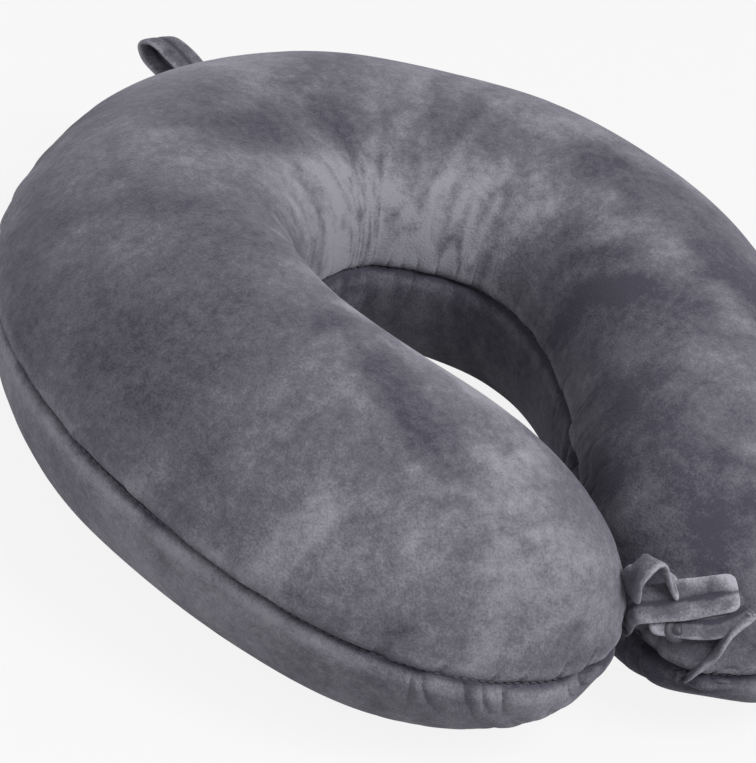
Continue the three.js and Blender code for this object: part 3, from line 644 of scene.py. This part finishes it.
def mixed(ways, share):
    """A direction between several, each with the share of the path at which it holds."""
    shares = [s for s, _ in ways]
    return np.array([np.interp(share, shares, [way[axis] for _, way in ways]) for axis in range(3)])


def loop_place(out, high):
    """A place on the hanging loop, which rises and leans to the left on its way out."""
    share = (out - ROOT_CLEARANCE) / LOOP_LENGTH
    turn = Matrix.Rotation(LOOP_LEAN * share, 3, "Z") @ Matrix.Rotation(LOOP_RISE * share, 3, "X")
    back = skin_place(0, 0, 1, 0) + np.array([LOOP_ASIDE, 0, 0])
    return back + np.array(turn @ Vector((0, out, high)))


# Geometry Nodes

def repeat_tree(name, parts):
    """A tree that sets one small shape at even distances along a line. The line's points carry the
    outward direction in the attribute out. parts are spheres or blocks: kind, size, place."""
    tree = bpy.data.node_groups.new(name, "GeometryNodeTree")
    for socket, kind in (("Geometry", "NodeSocketGeometry"), ("Spacing", "NodeSocketFloat"), ("Size", "NodeSocketFloat"),
                         ("Finish", "NodeSocketMaterial")):
        tree.interface.new_socket(socket, in_out="INPUT", socket_type=kind)
    tree.interface.new_socket("Geometry", in_out="OUTPUT", socket_type="NodeSocketGeometry")
    given = add_node(tree, "NodeGroupInput").outputs
    line = add_node(tree, "GeometryNodeMeshToCurve", {"Mesh": given["Geometry"]})
    points = add_node(tree, "GeometryNodeCurveToPoints", {"Curve": line.outputs[0], "Length": given["Spacing"]},
                      mode="LENGTH").outputs
    outward = add_node(tree, "GeometryNodeInputNamedAttribute", {"Name": "out"}, data_type="FLOAT_VECTOR")
    along = add_node(tree, "FunctionNodeAlignRotationToVector", {"Vector": points["Tangent"]}, axis="Z")
    turned = add_node(tree, "FunctionNodeAlignRotationToVector", {
        "Rotation": along.outputs[0], "Vector": outward.outputs[0]}, axis="X", pivot_axis="Z")
    joined = add_node(tree, "GeometryNodeJoinGeometry")
    for kind, size, place in parts:
        if kind == "sphere":
            shape = add_node(tree, "GeometryNodeMeshUVSphere", {"Segments": 8, "Rings": 6, "Radius": 0.5})
        else:
            shape = add_node(tree, "GeometryNodeMeshCube", {"Size": (1, 1, 1)})
        moved = add_node(tree, "GeometryNodeTransform", {
            "Geometry": shape.outputs["Mesh"], "Translation": tuple(v * MM for v in place),
            "Scale": tuple(v * MM for v in size)})
        tree.links.new(moved.outputs[0], joined.inputs[0])
    placed = add_node(tree, "GeometryNodeInstanceOnPoints", {
        "Points": points["Points"], "Instance": joined.outputs[0], "Rotation": turned.outputs[0],
        "Scale": given["Size"]})
    real = add_node(tree, "GeometryNodeRealizeInstances", {"Geometry": placed.outputs[0]})
    done = add_node(tree, "GeometryNodeSetMaterial", {"Geometry": real.outputs[0], "Material": given["Finish"]})
    add_node(tree, "NodeGroupOutput", {"Geometry": done.outputs[0]})
    return tree


def repeated(name, tree, line, outward, spacing, material):
    """A plain mesh of the tree's shape along a line of places in millimetres."""
    mesh = bpy.data.meshes.new(name + "_line")
    mesh.from_pydata((line * MM).tolist(), [(i, i + 1) for i in range(len(line) - 1)], [])
    layer = mesh.attributes.new("out", "FLOAT_VECTOR", "POINT")
    layer.data.foreach_set("vector", outward.astype(np.float32).reshape(-1))
    guide = bpy.data.objects.new(name + "_line", mesh)
    bpy.context.scene.collection.objects.link(guide)
    modifier = guide.modifiers.new("Repeat", "NODES")
    modifier.node_group = tree
    values = {"Spacing": spacing * MM, "Size": 1.0, "Finish": material}
    for item in tree.interface.items_tree:
        if item.in_out == "INPUT" and item.name in values:
            modifier[item.identifier] = values[item.name]
    bpy.context.view_layer.update()
    depsgraph = bpy.context.evaluated_depsgraph_get()
    result = bpy.data.meshes.new_from_object(guide.evaluated_get(depsgraph))
    result.name = name
    bpy.data.objects.remove(guide)
    made = bpy.data.objects.new(name, result)
    bpy.context.scene.collection.objects.link(made)
    return made


# Materials

def linear(colour):
    """An sRGB hex colour as linear red, green, blue and alpha."""
    parts = [int(colour[i:i + 2], 16) / 255 for i in (1, 3, 5)]
    return tuple(p / 12.92 if p <= 0.04045 else ((p + 0.055) / 1.055) ** 2.4 for p in parts) + (1.0,)


def add_node(tree, kind, inputs=None, **settings):
    """Adds a node, gives it its settings, and sets or links its inputs."""
    made = tree.nodes.new(kind)
    for name, value in settings.items():
        setattr(made, name, value)
    for key, value in (inputs or {}).items():
        if isinstance(value, bpy.types.NodeSocket):
            tree.links.new(value, made.inputs[key])
        else:
            made.inputs[key].default_value = value
    return made


def new_material(name):
    material = bpy.data.materials.new(name)
    material.use_nodes = True
    material.node_tree.nodes.clear()
    return material, material.node_tree


def velour(name, dark, mid, light, patch_mm=34.0, nap_and_light_share=0.3):
    """Short-pile polyester velour: matt, with light and dark where the pile is brushed and where the attribute carries
    painted highlight and painted shade, and a soft sheen where it is seen edge on."""
    material, tree = new_material(name)
    place = add_node(tree, "ShaderNodeTexCoord").outputs["Object"]
    nap_and_painted_light = add_node(tree, "ShaderNodeAttribute", attribute_name="nap_and_painted_light").outputs["Fac"]
    patch = add_node(tree, "ShaderNodeTexNoise", {
        "Vector": place, "Scale": 1 / (patch_mm * MM), "Detail": 3.0, "Roughness": 0.55, "Distortion": 0.8})
    mottle = add_node(tree, "ShaderNodeTexNoise", {
        "Vector": place, "Scale": 1 / (3.2 * MM), "Detail": 3.0, "Roughness": 0.6})
    pile = add_node(tree, "ShaderNodeTexNoise", {
        "Vector": place, "Scale": 1 / (0.8 * MM), "Detail": 2.0, "Roughness": 0.6})
    shade = add_node(tree, "ShaderNodeMath", {0: nap_and_painted_light, 1: nap_and_light_share, 2: 0.5}, operation="MULTIPLY_ADD")
    total = shade.outputs[0]
    for layer, weight in ((patch, 0.5), (mottle, 0.55), (pile, 0.4)):
        scaled = add_node(tree, "ShaderNodeMath", {0: layer.outputs["Fac"], 1: weight, 2: -0.5 * weight},
                          operation="MULTIPLY_ADD")
        total = add_node(tree, "ShaderNodeMath", {0: total, 1: scaled.outputs[0]}, operation="ADD").outputs[0]
    ramp = add_node(tree, "ShaderNodeValToRGB", {"Fac": total})
    ramp.color_ramp.elements[0].color = linear(dark)
    ramp.color_ramp.elements[0].position = 0.12
    ramp.color_ramp.elements[1].color = linear(light)
    ramp.color_ramp.elements[1].position = 0.92
    ramp.color_ramp.elements.new(0.5).color = linear(mid)
    grain = add_node(tree, "ShaderNodeMath", {0: pile.outputs["Fac"], 1: mottle.outputs["Fac"]}, operation="ADD")
    bump = add_node(tree, "ShaderNodeBump", {"Height": grain.outputs[0], "Strength": 0.5, "Distance": 0.5 * MM})
    shader = add_node(tree, "ShaderNodeBsdfPrincipled", {
        "Base Color": ramp.outputs["Color"], "Roughness": 0.95, "Specular IOR Level": 0.15,
        "Sheen Weight": 0.35, "Sheen Roughness": 0.45, "Sheen Tint": linear("#C9C8D6"),
        "Normal": bump.outputs["Normal"]})
    add_node(tree, "ShaderNodeOutputMaterial", {"Surface": shader.outputs[0]})
    return material


def grained(name, dark, light, roughness, grain_mm, bump_mm, metallic=0.0, woven=False):
    """A finish with a fine grain, or with the crossing threads of a weave, in colour and surface."""
    material, tree = new_material(name)
    place = add_node(tree, "ShaderNodeTexCoord").outputs["Object"]
    grain = add_node(tree, "ShaderNodeTexNoise", {
        "Vector": place, "Scale": 1 / (grain_mm * MM), "Detail": 3.0, "Roughness": 0.6}).outputs["Fac"]
    if woven:
        waves = [add_node(tree, "ShaderNodeTexWave", {
            "Vector": place, "Scale": 0.31 / (grain_mm * MM), "Distortion": 1.5, "Detail": 1.0,
            "Detail Scale": 2.0}, bands_direction=way).outputs["Fac"] for way in ("X", "Z")]
        weave = add_node(tree, "ShaderNodeMath", {0: waves[0], 1: waves[1]}, operation="MULTIPLY").outputs[0]
        half = add_node(tree, "ShaderNodeMath", {0: grain, 1: 0.5}, operation="MULTIPLY").outputs[0]
        grain = add_node(tree, "ShaderNodeMath", {0: weave, 1: 0.6, 2: half}, operation="MULTIPLY_ADD").outputs[0]
    ramp = add_node(tree, "ShaderNodeValToRGB", {"Fac": grain})
    ramp.color_ramp.elements[0].color = linear(dark)
    ramp.color_ramp.elements[0].position = 0.25
    ramp.color_ramp.elements[1].color = linear(light)
    ramp.color_ramp.elements[1].position = 0.75
    bump = add_node(tree, "ShaderNodeBump", {"Height": grain, "Strength": 0.6, "Distance": bump_mm * MM})
    shader = add_node(tree, "ShaderNodeBsdfPrincipled", {
        "Base Color": ramp.outputs["Color"], "Roughness": roughness, "Metallic": metallic,
        "Normal": bump.outputs["Normal"]})
    add_node(tree, "ShaderNodeOutputMaterial", {"Surface": shader.outputs[0]})
    return material


def finish(name):
    """The named material, made the first time it is asked for."""
    looks = bpy.context.scene.pillow_looks
    if name in bpy.data.materials:
        return bpy.data.materials[name]
    makers = {
        # Brushed short pile: soft cloudy lights and darks, some of them painted highlight and painted shade from the
        # pile attribute
        "Velour cover": lambda: velour(name, looks.dark, looks.mid, looks.light),
        # The same pile on narrow bands, with painted highlights on the folded edges and the rounded end and painted
        # shade in the middle crease
        "Velour band": lambda: velour(name, looks.dark, looks.mid, "#A9A8B2", patch_mm=14.0, nap_and_light_share=0.34),
        # Twill polyester tape: fine crossing threads, slightly lustrous
        "Woven zip tape": lambda: grained(name, "#34333B", "#5B5A64", 0.75, 0.7, 0.15, woven=True),
        # Injection moulded acetal: smooth, a soft highlight
        "Moulded zip teeth": lambda: grained(name, "#35343B", "#45444C", 0.38, 1.5, 0.03),
        # Zinc casting, tumbled and plated dark: satin with tiny pits
        "Plated zinc": lambda: grained(name, "#85858B", "#A3A3A8", 0.34, 0.9, 0.02, metallic=1.0),
        # Brass snap under dark lacquer: even, satin, with the faintest mottle
        "Lacquered snap": lambda: grained(name, "#3A3941", "#47464F", 0.55, 0.8, 0.02),
        # Circular knit: fine matt stitches
        "Knitted sleeve": lambda: grained(name, "#2E2E33", "#47474D", 0.9, 0.9, 0.2, woven=True),
        # Moulded memory foam: matt, with fine open cells
        "Memory foam": lambda: grained(name, "#CFC6B0", "#E4DDCB", 0.95, 1.1, 0.35),
        # Spun polyester thread: twisted, a little shiny
        "Sewing thread": lambda: grained(name, "#2F2E36", "#4C4B55", 0.6, 0.3, 0.08),
    }
    return makers[name]()


# What a user would change

class PillowLooks(bpy.types.PropertyGroup):
    """Depths and heights of the sewn and stuffed surface, in millimetres, and its colours."""
    groove: bpy.props.FloatProperty(name="Seam groove", description="Depth of the groove along the seam, mm",
                                    default=3.0, min=0, max=8)
    groove_width: bpy.props.FloatProperty(name="Groove width", description="Half width of the seam groove, mm",
                                          default=1.5, min=0.5, max=8)
    roll: bpy.props.FloatProperty(name="Rolled edge", description="Swell of the panels beside the seam, mm",
                                  default=0.5, min=0, max=4)
    pucker: bpy.props.FloatProperty(name="Puckers", description="Height of the puckers at the seam, mm",
                                    default=1.9, min=0, max=4)
    pucker_reach: bpy.props.FloatProperty(name="Pucker reach", description="How far puckers run from the seam, mm",
                                          default=13, min=2, max=60)
    rib: bpy.props.FloatProperty(name="Inner gathers", description="Height of the gathers inside the back, mm",
                                 default=0.7, min=0, max=3)
    lump: bpy.props.FloatProperty(name="Lumps", description="Height of the broad unevenness, mm",
                                  default=0.8, min=0, max=5)
    stitch: bpy.props.FloatProperty(name="Stitch spacing", description="Distance between stitches, mm",
                                    default=3.0, min=1, max=10)
    # These colours are mapped from the pile attribute, so the dark one also stands for painted shade and the light one
    # for painted highlight.
    mid: bpy.props.StringProperty(name="Velour", description="Colour of the pile at rest", default="#6B6A73")
    light: bpy.props.StringProperty(name="Brushed up", description="Colour where the pile stands", default="#97969F")
    dark: bpy.props.StringProperty(name="Brushed down", description="Colour where the pile lies", default="#46444F")


def cover_panels(looks):
    """The two sculpted panels of the cover."""
    panels = [Panel(601, 131, False), Panel(601, 131, True)]
    for panel in panels:
        panel.sculpt(looks)
    return panels


class PILLOW_OT_cover(bpy.types.Operator):
    """Makes the two velour panels of the cover and the thread of their seam"""
    bl_idname = "pillow.cover"
    bl_label = "Velour cover"

    def execute(self, context):
        looks = context.scene.pillow_looks
        panels = cover_panels(looks)
        for panel, name, node in zip(panels, ("velour_top", "velour_bottom"), ("cover_top_panel", "cover_bottom_panel")):
            outside = panel.finished()
            inner = np.linspace(0, outside.shape[1] - 1, 21).astype(int)
            sunk = np.minimum(panel.rise, 0) - VELOUR_THICKNESS
            inside = (panel.points + sunk[..., None] * panel.normals())[:, inner]
            made = shell_object(name, outside, inside, panel.nap_and_painted_light())
            place_piece(made, finish("Velour cover"), "pillow", [node])
        self.sew(looks, panels[0])
        self.hem(looks, panels)
        return {"FINISHED"}

    def sew(self, looks, panel):
        """Lock stitches at the bottom of the seam's groove, all round."""
        tree = repeat_tree("Seam stitches", [("sphere", (0.7, 0.7, 2.3), (0, 0, 0))])
        rows = slice(2, -2)
        for seam, column, name in ((panel.seam_out, 0, "seam_thread_outer"), (panel.seam_in, -1, "seam_thread_inner")):
            way = unit(np.gradient(seam, axis=0))[rows]
            outward = unit(seam - panel.points[:, panel.points.shape[1] // 2])[rows]
            outward[:, 2] = 0
            outward = unit(outward - (outward * way).sum(axis=1, keepdims=True) * way)
            line = seam[rows] - 2.0 * outward
            if column == 0:
                shut = panel.opened[rows] < 0.02
                parts = [line[:np.argmin(shut)], line[len(shut) - np.argmin(shut[::-1]):]]
                outs = [outward[:np.argmin(shut)], outward[len(shut) - np.argmin(shut[::-1]):]]
            else:
                parts, outs = [line], [outward]
            for number, (part, out) in enumerate(zip(parts, outs)):
                label = name if len(parts) == 1 else f"{name}_{('left', 'right')[number]}"
                made = repeated(label, tree, part, out, looks.stitch, finish("Sewing thread"))
                place_piece(made, finish("Sewing thread"), "pillow")

    def hem(self, looks, panels):
        """The two rows of stitches that hold the zip's tapes to the cover."""
        tree = repeat_tree("Hem stitches", [("sphere", (0.5, 0.8, 2.4), (0, 0, 0))])
        for panel, name in zip(panels, ("hem_stitches_upper", "hem_stitches_lower")):
            used = (panel.side > 0) & (panel.distance > ZIP_START - 4) & (panel.distance < ZIP_START + ZIP_LENGTH + 4)
            places, normals, run = panel.finished()[used], panel.normals()[used], panel.from_out[used]
            line, outward = [], []
            for place, normal, e in zip(places, normals, run):
                order = np.argsort(e)
                line.append([np.interp(2.6, e[order], place[order, axis]) for axis in range(3)])
                outward.append([np.interp(2.6, e[order], normal[order, axis]) for axis in range(3)])
            outward = unit(np.array(outward))
            made = repeated(name, tree, np.array(line) + 0.05 * outward, outward, looks.stitch, finish("Sewing thread"))
            place_piece(made, finish("Sewing thread"), "pillow")


class PILLOW_OT_straps(bpy.types.Operator):
    """Makes the strap of each tip"""
    bl_idname = "pillow.straps"
    bl_label = "Straps"

    def execute(self, context):
        self.left()
        self.right()
        return {"FINISHED"}

    def left(self):
        """The tab goes straight from the seam to its rounded end. Behind it a second layer rises in an
        arch and comes down on the tab's back."""
        place, out, along = seam_root(LEFT_ROOT_SHARE, -1, math.pi)
        frame_root = joint_place("left_strap_swing")
        tab_side = np.array([0, -math.cos(TAB_SLOPE), -math.sin(TAB_SLOPE)])
        first_side = along * np.sign(along @ tab_side)
        edge_on = np.array([-0.1, -0.8, 0.35])
        lift = np.array([0, 0, LAYER / 2])
        r = ARCH_RADIUS
        across, forward, height = ARCH
        arch = [
            place + lift,
            place + out * LAYER + 3 * lift,
            offset(frame_root, (across - r, forward, height - r)),
            offset(frame_root, (across, forward, height)),
            offset(frame_root, (across + r, forward, height - r)),
            offset(frame_root, ARCH_END),
        ]
        tab = [place - lift, place + out * LAYER]
        tab += [offset(frame_root, way) for way in (TAB_NECK, TAB_SHOULDER, TAB_FRONT, TAB_END)]
        arch_ways = ((0, first_side), (0.4, edge_on), (0.75, edge_on), (1, tab_side))
        tab_ways = ((0, first_side), (0.45, tab_side), (1, tab_side))
        for name, knots, ways, width, crease in (
            ("velour_strap_left_back", arch, arch_ways, STRAP_WIDTH - 2, 0.0),
            ("velour_strap_left", tab, tab_ways, STRAP_WIDTH, 0.7),
        ):
            made = band_object(name, knots, lambda way, share: mixed(ways, share), width, LAYER, 5, crease=crease,
                               gather=0.8, flare=0.35)
            place_piece(made, finish("Velour band"), "left_strap", ["left_strap"])

    def right(self):
        """Up beside the tip, folded over, and back to the left in front of it."""
        place, out, along = seam_root(RIGHT_ROOT_SHARE, 1, math.pi)
        frame_root = joint_place("right_strap_swing")
        knots = [
            place,
            place + out * LAYER,
            offset(frame_root, RIGHT_RISE),
            offset(frame_root, RIGHT_BACK),
            offset(frame_root, RIGHT_FOLD),
            offset(frame_root, RIGHT_FRONT),
            offset(frame_root, RIGHT_UNDER),
            offset(frame_root, RIGHT_END),
        ]
        under_side = np.array([0, -math.cos(RIGHT_SLOPE), -math.sin(RIGHT_SLOPE)])
        rise_side = np.array([-0.24, -0.64, 0.55])
        ways = ((0, 0.5 * along + rise_side), (0.2, rise_side), (0.45, rise_side), (0.7, under_side), (1, under_side))
        made = band_object("velour_strap_right", knots, lambda way, share: mixed(ways, share), RIGHT_WIDTH, LAYER, 9,
                           crease=0.5, gather=0.2, flare=-0.3)
        place_piece(made, finish("Velour band"), "right_strap", ["right_strap"])


class PILLOW_OT_loop(bpy.types.Operator):
    """Makes the hanging loop at the back"""
    bl_idname = "pillow.loop"
    bl_label = "Hanging loop"

    def execute(self, context):
        bend = (LOOP_ROOM + LOOP_THICKNESS) / 2
        foot = (0.5 * LOOP_THICKNESS + 0.3) / 2
        knots = [loop_place(*place) for place in (
            (ROOT_CLEARANCE, foot), (LOOP_SWELL, bend), (LOOP_LENGTH - bend, bend), (LOOP_LENGTH, 0),
            (LOOP_LENGTH - bend, -bend), (LOOP_SWELL, -bend), (ROOT_CLEARANCE, -foot))]
        made = band_object("velour_back_loop", knots, lambda way, share: np.array([1.0, 0, 0]), STRAP_WIDTH,
                           LOOP_THICKNESS, 13, crease=0.4, both_sewn=True, gather=0.3)
        place_piece(made, finish("Velour band"), "back_loop", ["back_loop"])
        return {"FINISHED"}


class PILLOW_OT_zip(bpy.types.Operator):
    """Makes the zip: tapes, teeth, stops, slider and puller"""
    bl_idname = "pillow.zip"
    bl_label = "Zip"

    def execute(self, context):
        distance = np.linspace(ZIP_START - 1, ZIP_START + ZIP_LENGTH + 1, 90)
        seam = skin(distance, 0 * distance, 0 * distance + 1, 0 * distance, False)
        out_x, out_y = crest_at(distance)[2:]
        outward = np.stack([out_x, out_y, 0 * out_x], axis=1)
        self.tapes(distance)
        self.teeth(seam, outward)
        metal = finish("Plated zinc")
        for node, name, body in (
            ("zip_top_stop_upper", "top_stop_upper", "pillow"), ("zip_top_stop_lower", "top_stop_lower", "pillow"),
            ("zip_bottom_stop", "bottom_stop", "pillow"), ("zip_slider", "slider", "zip_slider"),
            ("zip_puller", "pull_tab", "zip_puller"),
        ):
            made = finer_copy(node, name, 0.28)
            place_piece(made, metal, body, [node])
        return {"FINISHED"}

    def tapes(self, distance):
        """Two woven strips behind the hem, from beside the teeth outwards."""
        for name, node, below in (("tape_upper", "zip_tape_upper", False), ("tape_lower", "zip_tape_lower", True)):
            angles = np.linspace(0.004, 0.30, 40)
            angles = 2 * math.pi - angles if below else angles
            grid = [a[:, None] for a in (distance, 0 * distance, 0 * distance + 1)]
            layers = [skin(*grid, angles[None, :], below, depth) for depth in (HEM_DEPTH, HEM_DEPTH + 0.6)]
            middle = skin(distance, 0 * distance, 0 * distance + 1, 0 * distance, False)[:, 2]
            high = np.abs(layers[0][..., 2] - middle[:, None])
            wanted = np.linspace(0.35, 7.8, 16)
            outer, inner = ([np.array([[np.interp(wanted, h, line[:, axis]) for axis in range(3)]
                                       for h, line in zip(high, layer)]).transpose(0, 2, 1) for layer in layers])
            if below:
                outer, inner = outer[:, ::-1], inner[:, ::-1]
            made = shell_object(name, outer, inner)
            place_piece(made, finish("Woven zip tape"), "pillow", [node])

    def teeth(self, seam, outward):
        """Two rows of moulded teeth that mesh in the middle of the seam."""
        run = np.concatenate([[0], np.cumsum(np.linalg.norm(np.diff(seam, axis=0), axis=1))])
        back = frame_place(outward, 0.15)
        for name, node, up, start in (("teeth_upper", "zip_teeth_upper", 1, 0.0), ("teeth_lower", "zip_teeth_lower", -1, 0.5)):
            tree = repeat_tree(name, [
                ("block", (1.5, 1.9, 1.2), (0, up * 1.45, 0)), ("sphere", (1.5, 1.6, 1.5), (0, up * 0.2, 0))])
            box = [np.array(corner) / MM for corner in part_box(node)]
            inside = (seam[:, 0] > box[0][0] - 1) & (seam[:, 0] < box[1][0] + 1)
            inside &= (seam[:, 1] > box[0][1] - 1) & (seam[:, 1] < box[1][1] + 1)
            first = run[np.argmax(inside)] + 0.6 + start * TOOTH_PITCH
            last = run[len(inside) - 1 - np.argmax(inside[::-1])]
            stops = np.linspace(first, last, 60)
            line = np.stack([np.interp(stops, run, (seam + back)[:, axis]) for axis in range(3)], axis=1)
            outs = np.stack([np.interp(stops, run, outward[:, axis]) for axis in range(3)], axis=1)
            made = repeated(name, tree, line, unit(outs), TOOTH_PITCH, finish("Moulded zip teeth"))
            place_piece(made, finish("Moulded zip teeth"), "pillow", [node])


def frame_place(outward, distance):
    """How far a row stands inside the seam."""
    return -distance * outward


class PILLOW_OT_snap(bpy.types.Operator):
    """Makes the two halves of the snap fastener"""
    bl_idname = "pillow.snap"
    bl_label = "Snap fastener"

    def execute(self, context):
        for node, name, body in (("snap_socket", "press_socket", "left_strap"), ("snap_stud", "press_stud", "right_strap")):
            made = finer_copy(node, name, 0.15, steps=2)
            place_piece(made, finish("Lacquered snap"), body, [node])
        return {"FINISHED"}


class PILLOW_OT_inside(bpy.types.Operator):
    """Makes the sleeve and the foam core inside the cover"""
    bl_idname = "pillow.inside"
    bl_label = "Sleeve and core"

    def execute(self, context):
        distance, tip_share, side = station_rows(161)
        grid = [a[:, None] for a in (distance, tip_share, side)]
        over = np.linspace(0, math.pi, 49)
        for name, node, below in (("sleeve_top", "inner_sleeve_top", False), ("sleeve_bottom", "inner_sleeve_bottom", True)):
            angles = over + (math.pi if below else 0)
            outside = skin(*grid, angles[None, :], below, 3.4)
            inside = skin(*grid, angles[None, :], below, 4.1)
            made = shell_object(name, outside, inside)
            place_piece(made, finish("Knitted sleeve"), "pillow", [node])
        top = skin(*grid, over[None, :], False, 4.4)
        under = skin(*grid, (over + math.pi)[None, 1:-1], True, 4.4)
        rings = np.concatenate([top, under], axis=1)
        made = make_object("memory_foam_core", rings, ring_faces(rings.shape[0], rings.shape[1]))
        place_piece(made, finish("Memory foam"), "pillow", ["foam_core"])
        return {"FINISHED"}


class PILLOW_OT_stage(bpy.types.Operator):
    """Sets the floor, the light and the camera"""
    bl_idname = "pillow.stage"
    bl_label = "Stage"

    def execute(self, context):
        scene = context.scene
        scene.view_settings.view_transform = "Standard"
        make_floor()
        make_world(scene)
        make_lamps(scene)
        make_camera(scene)
        return {"FINISHED"}


def make_floor():
    corners = [(-4000, -4000, 0), (4000, -4000, 0), (4000, 4000, 0), (-4000, 4000, 0)]
    made = make_object("floor", corners, [(0, 1, 2, 3)])
    material, tree = new_material("White paper")
    path = add_node(tree, "ShaderNodeLightPath").outputs
    seen = path["Is Camera Ray"]
    for ray in ("Is Glossy Ray", "Is Transmission Ray"):
        seen = add_node(tree, "ShaderNodeMath", {0: seen, 1: path[ray]}, operation="MAXIMUM").outputs[0]
    paper = add_node(tree, "ShaderNodeBsdfDiffuse", {"Color": (0.5, 0.5, 0.5, 1)})
    white = add_node(tree, "ShaderNodeEmission", {"Color": (1, 1, 1, 1), "Strength": 1.0})
    shown = add_node(tree, "ShaderNodeMixShader", {0: 0.88, 1: paper.outputs[0], 2: white.outputs[0]})
    both = add_node(tree, "ShaderNodeMixShader", {0: seen, 1: paper.outputs[0], 2: shown.outputs[0]})
    add_node(tree, "ShaderNodeOutputMaterial", {"Surface": both.outputs[0]})
    made.data.materials.append(material)


def make_world(scene):
    world = bpy.data.worlds.new("Soft studio")
    world.use_nodes = True
    tree = world.node_tree
    tree.nodes.clear()
    path = add_node(tree, "ShaderNodeLightPath").outputs
    seen = path["Is Camera Ray"]
    for ray in ("Is Glossy Ray", "Is Transmission Ray"):
        seen = add_node(tree, "ShaderNodeMath", {0: seen, 1: path[ray]}, operation="MAXIMUM").outputs[0]
    level = add_node(tree, "ShaderNodeMapRange", {"Value": seen, "To Min": 0.3, "To Max": 1.0})
    sky = add_node(tree, "ShaderNodeBackground", {"Color": (1, 1, 1, 1), "Strength": level.outputs[0]})
    add_node(tree, "ShaderNodeOutputWorld", {"Surface": sky.outputs[0]})
    scene.world = world


def make_lamps(scene):
    """A broad lamp high in front of the tips and a weaker one behind the left shoulder."""
    for name, place, size, power in (
        ("Top lamp", (0.35, -0.85, 1.25), 0.9, 19.0),
        ("Side lamp", (-1.2, 0.5, 0.8), 1.1, 6.0),
    ):
        lamp = bpy.data.lights.new(name, "AREA")
        lamp.shape = "DISK"
        lamp.size = size
        lamp.energy = power
        made = bpy.data.objects.new(name, lamp)
        made.location = place
        made.rotation_euler = (Vector((0, 0, 0.05)) - Vector(place)).to_track_quat("-Z", "Y").to_euler()
        scene.collection.objects.link(made)


def make_camera(scene):
    """The photograph's view: from behind the left arm's outer side, a little rolled."""
    azimuth, elevation, roll = (math.radians(a) for a in (-40.471, 33.157, 14.781))
    distance = 1.2889
    target = Vector((SHIFT_X, SHIFT_Y, 37.44)) * MM
    back = Vector((math.sin(azimuth) * math.cos(elevation), -math.cos(azimuth) * math.cos(elevation),
                   math.sin(elevation)))
    right = Vector((math.cos(azimuth), math.sin(azimuth), 0))
    up = back.cross(right)
    turned_right = right * math.cos(roll) + up * math.sin(roll)
    turned_up = up * math.cos(roll) - right * math.sin(roll)
    camera = bpy.data.cameras.new("Camera")
    camera.sensor_width = 36
    camera.lens = 3648.09 * 36 / 763
    camera.shift_x = 15.37 / 763
    camera.shift_y = -49.075 / 763
    made = bpy.data.objects.new("Camera", camera)
    axes = Matrix((turned_right, turned_up, back)).transposed().to_4x4()
    made.matrix_world = Matrix.Translation(target + back * distance) @ axes
    scene.collection.objects.link(made)
    scene.camera = made


class PILLOW_PT_panel(bpy.types.Panel):
    """Lists the pieces of the pillow in the sidebar"""
    bl_idname = "PILLOW_PT_panel"
    bl_label = "Neck pillow"
    bl_space_type = "VIEW_3D"
    bl_region_type = "UI"
    bl_category = "Neck pillow"

    def draw(self, context):
        looks = context.scene.pillow_looks
        for name in looks.__annotations__:
            self.layout.prop(looks, name)
        for operator in OPERATORS:
            self.layout.operator(operator.bl_idname)


OPERATORS = (PILLOW_OT_stage, PILLOW_OT_cover, PILLOW_OT_straps, PILLOW_OT_loop, PILLOW_OT_zip, PILLOW_OT_snap,
             PILLOW_OT_inside)
CLASSES = (PillowLooks, PILLOW_PT_panel) + OPERATORS


def register():
    for cls in CLASSES:
        bpy.utils.register_class(cls)
    bpy.types.Scene.pillow_looks = bpy.props.PointerProperty(type=PillowLooks)


def unregister():
    del bpy.types.Scene.pillow_looks
    for cls in reversed(CLASSES):
        bpy.utils.unregister_class(cls)


def main():
    register()
    bpy.ops.pillow.stage()
    bpy.ops.pillow.cover()
    bpy.ops.pillow.straps()
    bpy.ops.pillow.loop()
    bpy.ops.pillow.zip()
    bpy.ops.pillow.snap()
    bpy.ops.pillow.inside()


if __name__ == "__main__":
    main()
